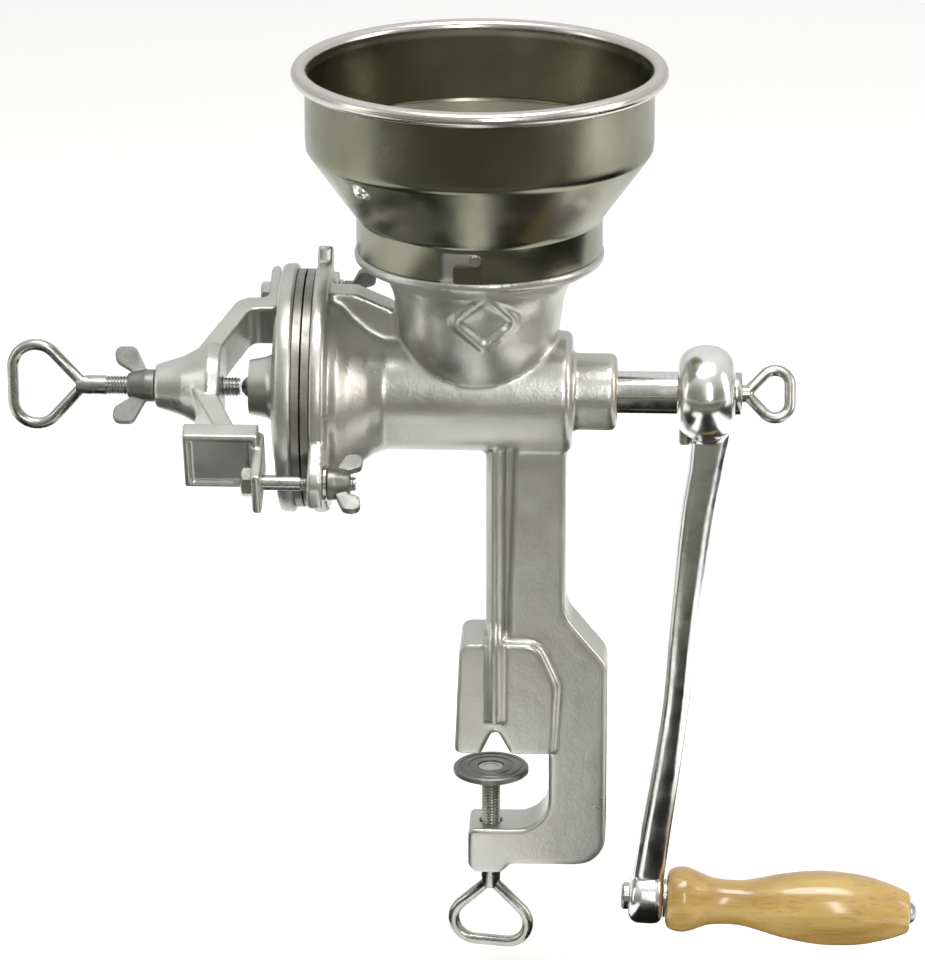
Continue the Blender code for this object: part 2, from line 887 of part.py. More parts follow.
def yoke_bolts():
    head_top = EAR_X - GAP
    tip = -67 * MM
    for name, side in (("yoke_bolt_front", -1), ("yoke_bolt_rear", 1)):
        y, z = around_shaft(YOKE_TILT, side * BOLT_CIRCLE)
        bolt = rod(name, (head_top - 3 * MM, y, z), (tip, y, z), 3 * MM)
        head = rod(f"{name}_head", (head_top - 4 * MM, y, z), (head_top, y, z), 6 * MM, 6)
        join(bolt, head)
        add_part(bolt, PLATED_STEEL)


def yoke_washers():
    near = FLANGE_X + FLANGE_THICK + GAP
    far = near + 1.2 * MM
    for name, side in (("yoke_washer_front", -1), ("yoke_washer_rear", 1)):
        y, z = around_shaft(YOKE_TILT, side * BOLT_CIRCLE)
        ring = [(7 * MM, far), (7 * MM, near), (3.3 * MM, near), (3.3 * MM, far)]
        add_part(turned_x(name, ring, SMALL_ROUND, y, z), PLATED_STEEL)


def wing_nut(name, base, direction, hole, height, span, angle, y=0, z=SHAFT_Z):
    """A wing nut on a line along X. Its wings lean away from its base along the direction."""
    top = base + direction * height
    body = [(6.6 * MM, base), (5 * MM, top), (hole, top), (hole, base)]
    nut = turned_x(name, body, SMALL_ROUND, y, z)
    matrix = Matrix.Translation((base, y, z)) @ Matrix.Rotation(angle, 4, "X") @ UPRIGHT
    half = span / 2
    for side in (-1, 1):
        corners = [
            (0.5 * MM, 5 * MM, 0),
            (3 * MM, 5.5 * MM, 0),
            (height * 0.75, half, 3 * MM),
            (height * 1.55, half, 3 * MM),
            (height * 1.45, half - 6.5 * MM, 2.5 * MM),
            (height * 0.8, 5 * MM, 0),
        ]
        outline = rounded([(direction * x, side * v, radius) for x, v, radius in corners], 3)
        join(nut, plate(f"{name}_wing_{side}", outline, 2.8 * MM, matrix))
    return add_part(nut, PLATED_STEEL)


def wing_nuts():
    wing_nut(
        "lock_wing_nut", YOKE_END - GAP, -1, ADJUST_R + GAP, 11 * MM, 32 * MM, math.radians(-35)
    )
    base = FLANGE_X + FLANGE_THICK + 1.2 * MM + 2 * GAP
    turns = (("yoke_wing_nut_front", -1, -55), ("yoke_wing_nut_rear", 1, 20))
    for name, side, angle in turns:
        y, z = around_shaft(YOKE_TILT, side * BOLT_CIRCLE)
        wing_nut(name, base, 1, 3.3 * MM, 9 * MM, 27 * MM, math.radians(angle), y, z)


def adjusting_screw():
    tip = BALL_X - BALL_R - GAP
    screw = rod("adjusting_screw", (tip, 0, SHAFT_Z), (-183 * MM, 0, SHAFT_Z), ADJUST_R)
    place = Matrix.Translation((-180 * MM, 0, SHAFT_Z)) @ Matrix.Rotation(math.pi, 4, "Z") @ UPRIGHT
    join(screw, ring_handle("adjusting_ring", 31 * MM, 38 * MM, place))
    add_part(screw, PLATED_STEEL)


# ---------------------------------------------------------------- clamp


def clamp_pad():
    ring = [
        (PAD_R, PAD_TOP - 0.6 * MM),
        (PAD_R, PAD_TOP - 2.6 * MM),
        (7 * MM, PAD_TOP - 4 * MM),
        (6.5 * MM, PAD_TOP - 6 * MM),
        (3.3 * MM, PAD_TOP - 6 * MM),
        (3.3 * MM, PAD_TOP - 1.6 * MM),
        (5.4 * MM, PAD_TOP - 1.6 * MM),
        (5.4 * MM, PAD_TOP),
        (PAD_R - 0.8 * MM, PAD_TOP),
    ]
    place = Matrix.Translation((CLAMP_SCREW_X, 0, 0))
    add_part(turned("clamp_pad", ring, place), PLATED_STEEL)


def clamp_screw():
    shoulder = PAD_TOP - 6 * MM - GAP
    profile = [
        (0, PAD_TOP - 0.5 * MM),
        (3 * MM, PAD_TOP - 0.5 * MM),
        (3 * MM, shoulder),
        (CLAMP_SCREW_R, shoulder),
        (CLAMP_SCREW_R, -65 * MM),
        (0, -65 * MM),
    ]
    place = Matrix.Translation((CLAMP_SCREW_X, 0, 0))
    screw = turned("clamp_screw", profile, place, SMALL_ROUND)
    ring_place = (
        Matrix.Translation((CLAMP_SCREW_X, 0, -62 * MM))
        @ Matrix.Rotation(math.radians(-10), 4, "Z")
        @ Matrix.Rotation(math.pi / 2, 4, "Y")
        @ UPRIGHT
    )
    join(screw, ring_handle("clamp_ring", 30 * MM, 36 * MM, ring_place))
    add_part(screw, PLATED_STEEL)


def clamp_pad_ring():
    """The ring swaged onto the clamp screw's end, sunk in the pad, that keeps the pad on."""
    top = PAD_TOP - 0.4 * MM
    ring = [(5.1 * MM, top), (5.1 * MM, top - 0.9 * MM), (3.2 * MM, top - 0.9 * MM), (3.2 * MM, top)]
    place = Matrix.Translation((CLAMP_SCREW_X, 0, 0))
    add_part(turned("clamp_pad_ring", ring, place, SMALL_ROUND), PLATED_STEEL)


# ---------------------------------------------------------------- hopper


def roll_centre():
    """(radius, height) of the middle of the rim's roll."""
    return HOPPER_R - RIM_ROLL_R - SHEET / 2, HOPPER_TOP - RIM_ROLL_R - SHEET / 2


def hopper_line():
    """The middle of the hopper's sheet, from the skirt up and round the rim's wire."""
    centre_r, centre_z = roll_centre()
    line = [
        (SKIRT_R, SKIRT_BOTTOM),
        (SKIRT_R, SKIRT_TOP),
        (centre_r - RIM_ROLL_R, KNEE_Z),
        (centre_r - RIM_ROLL_R, centre_z - 1.5 * MM),
    ]
    for degrees in range(180, -136, -45):
        angle = math.radians(degrees)
        line.append(
            (centre_r + RIM_ROLL_R * math.cos(angle), centre_z + RIM_ROLL_R * math.sin(angle))
        )
    return [Vector(point) for point in line]


def thickened(line, thickness):
    """A closed outline round an open line, half the thickness to each side."""
    one = []
    other = []
    for i, point in enumerate(line):
        before = (point - line[i - 1]).normalized() if i else None
        after = (line[i + 1] - point).normalized() if i + 1 < len(line) else None
        along = ((before or after) + (after or before)).normalized()
        across = Vector((-along.y, along.x))
        bend = across.dot(Vector((-(after or before).y, (after or before).x)))
        one.append(point + across * thickness / 2 / bend)
        other.append(point - across * thickness / 2 / bend)
    return one + other[::-1]


def slot_cutters():
    """The two L-shaped bayonet slots: an entry from the skirt's edge and a level run to the pin."""
    cutters = []
    for side in (-1, 1):
        corners = [
            (-14.5, SKIRT_BOTTOM / MM - 5, 0),
            (-8, SKIRT_BOTTOM / MM - 5, 0),
            (-8, SLOT_LOW / MM, 1),
            (2.8, SLOT_LOW / MM, 2.6),
            (2.8, SLOT_HIGH / MM, 2.6),
            (-14.5, SLOT_HIGH / MM, 2),
        ]
        outline = rounded([(x * MM, z * MM, radius * MM) for x, z, radius in corners], 3)
        turn = Matrix.Identity(4) if side < 0 else Matrix.Rotation(math.pi, 4, "Z")
        place = Matrix.Translation((HOPPER_X, 0, 0)) @ turn
        place = place @ Matrix.Translation((0, -48 * MM, 0)) @ UPRIGHT
        cutters.append(plate(f"slot_{side}", outline, 20 * MM, place))
    return cutters


def hopper():
    place = Matrix.Translation((HOPPER_X, 0, 0))
    outline = [(point.x, point.y) for point in thickened(hopper_line(), SHEET)]
    shell = turned("hopper_shell", outline, place, 48)
    cut(shell, *slot_cutters())
    add_part(shell, SHEET_METAL, 50)
    centre_r, centre_z = roll_centre()
    wire_r = RIM_ROLL_R - SHEET / 2 - GAP
    section = []
    for i in range(6):
        angle = i * math.tau / 6
        section.append((centre_r + wire_r * math.cos(angle), centre_z + wire_r * math.sin(angle)))
    add_part(turned("hopper_rim_wire", section, place, 48), PLATED_STEEL)


def build():
    main_body()
    bayonet_pins()
    shaft_bush()
    burr_carrier(burrs())
    thrust_ball()
    auger()
    crank_arm()
    crank_set_screw()
    crank_thumb_screw()
    grip_pin()
    grip_pin_nut()
    grip_washer()
    grip()
    yoke()
    yoke_bolts()
    yoke_washers()
    wing_nuts()
    adjusting_screw()
    clamp_pad()
    clamp_screw()
    clamp_pad_ring()
    hopper()


build()
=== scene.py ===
"""The looks of a clamp-on, hand-cranked grain mill: castings, spun hopper, threads, rings and grip.

Lengths in the shape code are in millimetres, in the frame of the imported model, and the mesh makers
turn them into metres. The frame: +Z up, +X along the crank shaft, -Y towards the user, the origin
on the underside of the clamp's upper jaw.
"""

import math

import bmesh
import bpy
import numpy as np
from mathutils import Matrix, Vector


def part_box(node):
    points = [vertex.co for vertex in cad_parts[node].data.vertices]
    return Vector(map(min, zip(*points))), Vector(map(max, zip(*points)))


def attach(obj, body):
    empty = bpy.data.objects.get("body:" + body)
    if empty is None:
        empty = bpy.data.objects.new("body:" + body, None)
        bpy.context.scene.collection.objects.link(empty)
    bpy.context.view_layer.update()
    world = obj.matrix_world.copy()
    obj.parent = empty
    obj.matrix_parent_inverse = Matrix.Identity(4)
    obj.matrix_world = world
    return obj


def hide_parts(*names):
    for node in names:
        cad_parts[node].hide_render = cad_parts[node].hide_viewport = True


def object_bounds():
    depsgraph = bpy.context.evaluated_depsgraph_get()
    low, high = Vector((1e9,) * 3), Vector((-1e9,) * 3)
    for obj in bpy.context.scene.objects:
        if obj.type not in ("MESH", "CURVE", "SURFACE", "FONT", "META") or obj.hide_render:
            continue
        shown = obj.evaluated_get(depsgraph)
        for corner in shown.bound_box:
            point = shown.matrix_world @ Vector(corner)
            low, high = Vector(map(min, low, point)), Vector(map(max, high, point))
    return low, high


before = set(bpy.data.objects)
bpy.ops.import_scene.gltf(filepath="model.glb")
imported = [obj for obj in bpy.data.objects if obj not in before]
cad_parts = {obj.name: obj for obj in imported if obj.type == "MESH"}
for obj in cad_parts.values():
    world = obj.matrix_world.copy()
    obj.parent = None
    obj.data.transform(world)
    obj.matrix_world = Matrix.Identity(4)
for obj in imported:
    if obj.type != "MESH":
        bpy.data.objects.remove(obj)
CAD_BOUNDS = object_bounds()

M = 0.001  # a millimetre in metres


def box_mm(node):
    """A CAD node's lowest and highest corners in millimetres."""
    low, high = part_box(node)
    return low / M, high / M


# ---------------------------------------------------------------- places, read from the frame

SHAFT_LOW, SHAFT_HIGH = box_mm("thrust_ball")
SHAFT_Z = (SHAFT_LOW.z + SHAFT_HIGH.z) / 2
HOPPER_LOW, HOPPER_HIGH = box_mm("hopper_shell")
HOPPER_X = (HOPPER_LOW.x + HOPPER_HIGH.x) / 2
PAD_LOW, PAD_HIGH = box_mm("clamp_pad")
CLAMP_X = (PAD_LOW.x + PAD_HIGH.x) / 2
DIMPLE_R = 64.4  # from the hopper's axis
DIMPLE_Z = 248.2
DIMPLE_ANGLE = math.radians(-133)
YOKE_TILT = math.radians(22)
BOLT_CIRCLE = 58
GRIP_PIVOT = Vector((49, 0, -69))
GRIP_TILT = math.radians(2.7)
FLANGE_X = -86
YOKE_END = -151
EAR_X = -108
BARREL_R = 24.4
BORE_R = 19.5

ALONG_X = Matrix.Rotation(math.pi / 2, 4, "Y")
UPRIGHT = Matrix.Rotation(math.pi / 2, 4, "X")
ON_SHAFT = Matrix.Translation((0, 0, SHAFT_Z))
ON_HOPPER = Matrix.Translation((HOPPER_X, 0, 0))
ON_CLAMP = Matrix.Translation((CLAMP_X, 0, 0))
ON_GRIP = Matrix.Translation(GRIP_PIVOT) @ Matrix.Rotation(math.pi / 2 + GRIP_TILT, 4, "Y")
ON_YOKE = ON_SHAFT @ Matrix.Rotation(YOKE_TILT, 4, "X")


def around_shaft(radius, angle=YOKE_TILT):
    """(y, z) at a radius from the shaft, the angle counted from +Y towards +Z."""
    return radius * math.cos(angle), SHAFT_Z + radius * math.sin(angle)


# ---------------------------------------------------------------- mesh makers


def mesh_object(name, points, faces, matrix=None):
    """A mesh object with points in millimetres, laid in the frame by the matrix."""
    matrix = matrix or Matrix.Identity(4)
    mesh = bpy.data.meshes.new(name)
    mesh.from_pydata([(matrix @ Vector(p)) * M for p in points], [], faces)
    obj = bpy.data.objects.new(name, mesh)
    bpy.context.scene.collection.objects.link(obj)
    shape = bmesh.new()
    shape.from_mesh(mesh)
    bmesh.ops.remove_doubles(shape, verts=shape.verts, dist=1e-7)
    bmesh.ops.recalc_face_normals(shape, faces=shape.faces)
    shape.to_mesh(mesh)
    shape.free()
    return obj


def lathe(name, profile, matrix, steps=96, wobble=None):
    """A profile of (radius, height) turned about local Z, a ring where it never meets the axis."""
    count = len(profile)
    ring = min(radius for radius, _ in profile) > 0
    points = []
    for step in range(steps):
        angle = math.tau * step / steps
        for radius, height in profile:
            r = radius + (wobble(angle, radius, height) if wobble and radius else 0)
            points.append((r * math.cos(angle), r * math.sin(angle), height))
    faces = []
    for step in range(steps):
        here = step * count
        there = (step + 1) % steps * count
        for i in range(count if ring else count - 1):
            j = (i + 1) % count
            corners = [here + i, here + j, there + j, there + i]
            if profile[i][0] == 0:
                corners.pop()
            elif profile[j][0] == 0:
                corners.pop(1)
            faces.append(corners)
    return mesh_object(name, points, faces, matrix)


def lathe_x(name, profile, steps=96, y=0, z=None):
    """A profile of (radius, x) turned about a line along X."""
    place = Matrix.Translation((0, y, SHAFT_Z if z is None else z))
    return lathe(name, profile, place @ ALONG_X, steps)


def rod(name, start, end, radius, steps=32, end_radius=None):
    start = Vector(start)
    along = Vector(end) - start
    far = radius if end_radius is None else end_radius
    place = Matrix.Translation(start) @ along.to_track_quat("Z", "X").to_matrix().to_4x4()
    return lathe(name, [(0, along.length), (far, along.length), (radius, 0), (0, 0)], place, steps)


def plate(name, outline, low, high, matrix):
    """A flat outline in the local XY plane, solid from height low to high."""
    count = len(outline)
    points = [(p[0], p[1], low) for p in outline] + [(p[0], p[1], high) for p in outline]
    faces = [list(range(count)), list(range(count, 2 * count))]
    for i in range(count):
        j = (i + 1) % count
        faces.append([i, j, count + j, count + i])
    return mesh_object(name, points, faces, matrix)


def block(name, low, high, matrix=None):
    corners = [(low[0], low[1]), (high[0], low[1]), (high[0], high[1]), (low[0], high[1])]
    return plate(name, corners, low[2], high[2], matrix)


def rounded(corners, steps=8):
    """An outline of (x, y, radius) corners with each corner rounded by an arc."""
    outline = []
    count = len(corners)
    for i, (x, y, radius) in enumerate(corners):
        corner = Vector((x, y))
        if radius == 0:
            outline.append(corner)
            continue
        before = (Vector(corners[i - 1][:2]) - corner).normalized()
        after = (Vector(corners[(i + 1) % count][:2]) - corner).normalized()
        half = before.angle(after) / 2
        centre = corner + (before + after).normalized() * radius / math.sin(half)
        first = corner + before * radius / math.tan(half) - centre
        last = corner + after * radius / math.tan(half) - centre
        turn = first.angle_signed(last)
        for step in range(steps + 1):
            outline.append(centre + Matrix.Rotation(-turn * step / steps, 2) @ first)
    return outline


def smooth_line(stations, steps=6):
    """A Catmull-Rom curve through the stations, in any number of coordinates."""
    points = [np.array(station, float) for station in stations]
    line = []
    for i in range(len(points) - 1):
        a, b = points[max(i - 1, 0)], points[i]
        c, d = points[i + 1], points[min(i + 2, len(points) - 1)]
        for t in np.arange(steps) / steps:
            square = t**2 * (a - 2.5 * b + 2 * c - d / 2)
            cube = t**3 * (1.5 * (b - c) + (d - a) / 2)
            line.append(b + t * (c - a) / 2 + square + cube)
    return line + [points[-1]]


def tube(name, path, radius, matrix, sides=16, closed=True):
    """A round wire along a path in the local XY plane."""
    count = len(path)
    points = []
    for i, here in enumerate(path):
        here = Vector(here)
        before = Vector(path[i - 1]) if closed or i else here
        after = Vector(path[(i + 1) % count]) if closed or i + 1 < count else here
        along = (after - before).normalized()
        across = Vector((-along.y, along.x))
        for side in range(sides):
            angle = math.tau * side / sides
            flat = here + across * radius * math.cos(angle)
            points.append((flat.x, flat.y, radius * math.sin(angle)))
    faces = []
    for i in range(count if closed else count - 1):
        for side in range(sides):
            a = i * sides + side
            b = i * sides + (side + 1) % sides
            shift = (i + 1) % count * sides - i * sides
            faces.append([a, b, b + shift, a + shift])
    if not closed:
        faces += [list(range(sides)), list(range((count - 1) * sides, count * sides))]
    return mesh_object(name, points, faces, matrix)


def loft(name, points, sides, matrix):
    """A skin over rings of points, each ring with this many sides, and a flat face at both ends."""
    rows = len(points) // sides - 1
    faces = [list(range(sides)), list(range(rows * sides, (rows + 1) * sides))]
    for row in range(rows):
        for side in range(sides):
            a = row * sides + side
            b = row * sides + (side + 1) % sides
            faces.append([a, b, b + sides, a + sides])
    return mesh_object(name, points, faces, matrix)


def threaded(name, start, end, radius, pitch, matrix, depth=0.62, chamfer=1.2, sides=28):
    """A right-handed threaded bar along local Z, from start to end, with chamfered ends."""
    rows = max(8, round((end - start) / pitch * 8))
    points = []
    for row in range(rows + 1):
        z = start + (end - start) * row / rows
        near_end = min(z - start, end - z)
        fade = min(1, near_end / chamfer)
        for side in range(sides):
            turn = side / sides
            phase = (z / pitch - turn) % 1
            groove = depth * min(1, 2.4 * abs(phase - 0.5)) * fade
            r = radius - depth * (1 - fade) * 0.9 - groove
            points.append((r * math.cos(math.tau * turn), r * math.sin(math.tau * turn), z))
    return loft(name, points, sides, matrix)


def bake(obj):
    """Applies the object's modifiers."""
    graph = bpy.context.evaluated_depsgraph_get()
    mesh = bpy.data.meshes.new_from_object(obj.evaluated_get(graph))
    obj.modifiers.clear()
    obj.data = mesh
    return obj


def combine(target, tools, operation, solver="MANIFOLD"):
    for tool in tools:
        modifier = target.modifiers.new("Combine", "BOOLEAN")
        modifier.operation = operation
        modifier.solver = solver
        modifier.object = tool
    bake(target)
    for tool in tools:
        bpy.data.objects.remove(tool)
    return target


def join(target, *tools):
    return combine(target, tools, "UNION")


def cut(target, *tools):
    return combine(target, tools, "DIFFERENCE")


def bevel(obj, width, segments=3, angle=35):
    modifier = obj.modifiers.new("Bevel", "BEVEL")
    modifier.width = width * M
    modifier.segments = segments
    modifier.limit_method = "ANGLE"
    modifier.angle_limit = math.radians(angle)
    modifier.use_clamp_overlap = True
    return bake(obj)


def cast(obj, voxel, passes, factor=0.5):
    """Rounds every edge and fills every inner corner, as a sand casting does."""
    remesh = obj.modifiers.new("Remesh", "REMESH")
    remesh.mode = "VOXEL"
    remesh.voxel_size = voxel * M
    soften = obj.modifiers.new("Soften", "SMOOTH")
    soften.iterations = passes
    soften.factor = factor
    return bake(obj)


def finish_piece(obj, material, body, nodes, smooth_angle=40):
    """Shades the piece, gives it its material and hangs it on its body in place of the CAD nodes."""
    obj.data.materials.clear()
    obj.data.materials.append(material)
    obj.data.shade_smooth()
    if smooth_angle:
        obj.data.set_sharp_from_angle(angle=math.radians(smooth_angle))
    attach(obj, body)
    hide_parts(*nodes)
    return obj


# ---------------------------------------------------------------- materials


class Finish:
    """A Principled material with procedural colour, roughness and bump in object coordinates."""

    def __init__(self, name, metallic, **sockets):
        self.material = bpy.data.materials.new(name)
        self.material.use_nodes = True
        self.nodes = self.material.node_tree.nodes
        self.links = self.material.node_tree.links
        self.shader = self.nodes["Principled BSDF"]
        self.shader.inputs["Metallic"].default_value = metallic
        for socket, value in sockets.items():
            self.shader.inputs[socket.replace("_", " ")].default_value = value
        self.place = self.nodes.new("ShaderNodeTexCoord").outputs["Object"]
        self.normal = None

    def stretched(self, scale, rotation=(0, 0, 0)):
        mapping = self.nodes.new("ShaderNodeMapping")
        mapping.inputs["Scale"].default_value = scale
        mapping.inputs["Rotation"].default_value = rotation
        self.links.new(self.place, mapping.inputs["Vector"])
        return mapping.outputs["Vector"]

    def noise(self, scale, detail=3, roughness=0.55, place=None, distortion=0):
        node = self.nodes.new("ShaderNodeTexNoise")
        node.inputs["Scale"].default_value = scale
        node.inputs["Detail"].default_value = detail
        node.inputs["Roughness"].default_value = roughness
        node.inputs["Distortion"].default_value = distortion
        self.links.new(place or self.place, node.inputs["Vector"])
        return node.outputs["Fac"]

    def cells(self, scale, place=None):
        node = self.nodes.new("ShaderNodeTexVoronoi")
        node.inputs["Scale"].default_value = scale
        self.links.new(place or self.place, node.inputs["Vector"])
        return node.outputs["Distance"]

    def ramp(self, value, stops):
        """stops: (position, grey or colour)."""
        node = self.nodes.new("ShaderNodeValToRGB")
        elements = node.color_ramp.elements
        elements.remove(elements[1])
        elements[0].position = stops[0][0]
        for i, (position, colour) in enumerate(stops):
            element = elements.new(position) if i else elements[0]
            rgb = (colour,) * 3 if isinstance(colour, (int, float)) else colour
            element.color = (*rgb, 1)
        self.links.new(value, node.inputs["Fac"])
        return node.outputs["Color"]

    def flat(self, colour):
        node = self.nodes.new("ShaderNodeRGB")
        node.outputs["Color"].default_value = (*colour, 1)
        return node.outputs["Color"]

    def rise(self, axis, start, end):
        """0 before the first place along the axis and 1 past the second."""
        split = self.nodes.new("ShaderNodeSeparateXYZ")
        self.links.new(self.place, split.inputs["Vector"])
        node = self.nodes.new("ShaderNodeMapRange")
        node.inputs["From Min"].default_value = start
        node.inputs["From Max"].default_value = end
        self.links.new(split.outputs[axis], node.inputs["Value"])
        return node.outputs["Result"]

    def near(self, place, reach):
        """1 at the place and 0 farther from it than the reach."""
        mapping = self.nodes.new("ShaderNodeMapping")
        mapping.inputs["Scale"].default_value = (1 / reach,) * 3
        mapping.inputs["Location"].default_value = [-part / reach for part in place]
        self.links.new(self.place, mapping.inputs["Vector"])
        ball = self.nodes.new("ShaderNodeTexGradient")
        ball.gradient_type = "SPHERICAL"
        self.links.new(mapping.outputs["Vector"], ball.inputs["Vector"])
        return ball.outputs["Fac"]

    def mix(self, kind, factor, one, other):
        node = self.nodes.new("ShaderNodeMix")
        node.data_type = "RGBA"
        node.blend_type = kind
        if isinstance(factor, (int, float)):
            node.inputs["Factor"].default_value = factor
        else:
            self.links.new(factor, node.inputs["Factor"])
        self.links.new(one, node.inputs["A"])
        self.links.new(other, node.inputs["B"])
        return node.outputs["Result"]

    def bump(self, height, distance, strength=1.0):
        node = self.nodes.new("ShaderNodeBump")
        node.inputs["Distance"].default_value = distance * M
        node.inputs["Strength"].default_value = strength
        self.links.new(height, node.inputs["Height"])
        if self.normal:
            self.links.new(self.normal, node.inputs["Normal"])
        self.normal = node.outputs["Normal"]

    def done(self, colour, roughness):
        self.links.new(colour, self.shader.inputs["Base Color"])
        self.links.new(roughness, self.shader.inputs["Roughness"])
        if self.normal:
            self.links.new(self.normal, self.shader.inputs["Normal"])
        return self.material


def cast_tin():
    """Hot-tinned sand casting: pale, softly glossy, with grain of the sand and broad unevenness."""
    finish = Finish("cast_tin", 0.88)
    finish.bump(finish.noise(95, 3, 0.5), 0.5, 0.45)
    finish.bump(finish.noise(850, 4, 0.6), 0.12, 0.7)
    pale = finish.ramp(finish.noise(30, 4, 0.55), [(0.3, (0.45, 0.45, 0.415)), (0.7, (0.55, 0.55, 0.53))])
    pits = finish.ramp(finish.cells(520), [(0.0, 0.65), (0.16, 1.0)])
    colour = finish.mix("MULTIPLY", 0.5, pale, pits)
    gloss = finish.ramp(finish.noise(60, 3, 0.6), [(0.3, 0.27), (0.7, 0.40)])
    return finish.done(colour, gloss)


def sheet_metal():
    """Spun sheet, its tin gone dark olive, with warm stains, fine rings, a painted highlight along the rim
    and a painted glint on the dimple.
    """
    finish = Finish("sheet_metal", 1.0, Anisotropic=0.75)
    around = finish.nodes.new("ShaderNodeTangent")
    around.direction_type = "RADIAL"
    around.axis = "Z"
    finish.links.new(around.outputs["Tangent"], finish.shader.inputs["Tangent"])
    rings = finish.noise(420, 2, 0.5, finish.stretched((0.03, 0.03, 1.6)))
    finish.bump(rings, 0.02, 0.5)
    finish.bump(finish.noise(40, 2, 0.4), 0.3, 0.25)
    tin = finish.ramp(finish.noise(18, 3, 0.5), [(0.3, (0.185, 0.19, 0.135)), (0.7, (0.31, 0.31, 0.245))])
    warm = finish.ramp(finish.noise(22, 2, 0.5, finish.stretched((1, 1, 1.4))), [(0.56, 0.0), (0.74, 0.4)])
    tin = finish.mix("MIX", warm, tin, finish.flat((0.32, 0.245, 0.18)))
    # Painted highlight: a pale band painted round the top of the rolled rim, standing in for its
    # reflection of the bright sky.
    rim = finish.rise("Z", (HOPPER_HIGH.z - 6.9) * M, (HOPPER_HIGH.z - 5.4) * M)
    tin_with_painted_highlights = finish.mix("MIX", rim, tin, finish.flat((0.60, 0.575, 0.55)))
    x = HOPPER_X + DIMPLE_R * math.cos(DIMPLE_ANGLE)
    y = DIMPLE_R * math.sin(DIMPLE_ANGLE)
    # Painted glint: a near-white spot painted on the dimple, standing in for its highlight.
    painted_glint = finish.ramp(finish.near((x * M, y * M, DIMPLE_Z * M), 7.5 * M), [(0.35, 0), (0.55, 1)])
    tin_with_painted_highlights = finish.mix("MIX", painted_glint, tin_with_painted_highlights, finish.flat((0.95, 0.95, 0.92)))
    gloss = finish.ramp(finish.noise(60, 3, 0.55), [(0.3, 0.17), (0.72, 0.28)])
    return finish.done(tin_with_painted_highlights, gloss)


def plated_steel():
    """Zinc-plated steel: grey, with faint cloudy patches and fine rubbing marks."""
    finish = Finish("plated_steel", 1.0)
    finish.bump(finish.noise(300, 3, 0.6, finish.stretched((1, 3, 3))), 0.03, 0.5)
    tone = finish.ramp(finish.noise(110, 3, 0.6), [(0.3, (0.36, 0.36, 0.325)), (0.7, (0.50, 0.50, 0.48))])
    gloss = finish.ramp(finish.noise(180, 3, 0.6), [(0.3, 0.2), (0.7, 0.36)])
    return finish.done(tone, gloss)


def forged_steel():
    """Dull plated forgings: the wing nuts and the clamp pad."""
    finish = Finish("forged_steel", 0.9)
    finish.bump(finish.noise(130, 3, 0.5), 0.25, 0.5)
    finish.bump(finish.noise(900, 3, 0.6), 0.06, 0.6)
    tone = finish.ramp(finish.noise(140, 3, 0.6), [(0.3, (0.16, 0.16, 0.145)), (0.7, (0.26, 0.26, 0.25))])
    gloss = finish.ramp(finish.noise(200, 3, 0.6), [(0.3, 0.34), (0.7, 0.5)])
    return finish.done(tone, gloss)


def bright_iron():
    """The crank's smooth, glossy tinned casting."""
    finish = Finish("bright_iron", 1.0)
    finish.bump(finish.noise(80, 2, 0.5), 0.5, 0.4)
    finish.bump(finish.noise(600, 3, 0.6), 0.035, 0.5)
    tone = finish.ramp(finish.noise(50, 3, 0.6), [(0.3, (0.70, 0.70, 0.68)), (0.7, (0.84, 0.84, 0.83))])
    gloss = finish.ramp(finish.noise(120, 3, 0.6), [(0.3, 0.14), (0.7, 0.26)])
    return finish.done(tone, gloss)


def burr_iron():
    finish = Finish("burr_iron", 1.0)
    finish.bump(finish.noise(700, 3, 0.6), 0.06, 0.7)
    tone = finish.ramp(finish.noise(90, 3, 0.6), [(0.3, (0.21, 0.20, 0.18)), (0.7, (0.33, 0.32, 0.30))])
    gloss = finish.ramp(finish.noise(200, 3, 0.6), [(0.3, 0.3), (0.7, 0.5)])
    return finish.done(tone, gloss)


def ground_steel():
    """The shaft's turned steel, with fine rings round its axis."""
    finish = Finish("ground_steel", 1.0)
    rings = finish.noise(900, 2, 0.5, finish.stretched((1.5, 0.06, 0.06)))
    finish.bump(rings, 0.012, 0.5)
    tone = finish.ramp(rings, [(0.3, (0.60, 0.60, 0.585)), (0.7, (0.68, 0.68, 0.67))])
    gloss = finish.ramp(finish.noise(160, 2, 0.5), [(0.3, 0.12), (0.7, 0.2)])
    return finish.done(tone, gloss)


def bush_bronze():
    finish = Finish("bush_bronze", 1.0)
    finish.bump(finish.noise(500, 2, 0.5, finish.stretched((3, 1, 1))), 0.03, 0.5)
    tone = finish.ramp(finish.noise(100, 3, 0.6), [(0.3, (0.50, 0.33, 0.14)), (0.7, (0.68, 0.48, 0.24))])
    gloss = finish.ramp(finish.noise(150, 3, 0.6), [(0.3, 0.22), (0.7, 0.4)])
    return finish.done(tone, gloss)


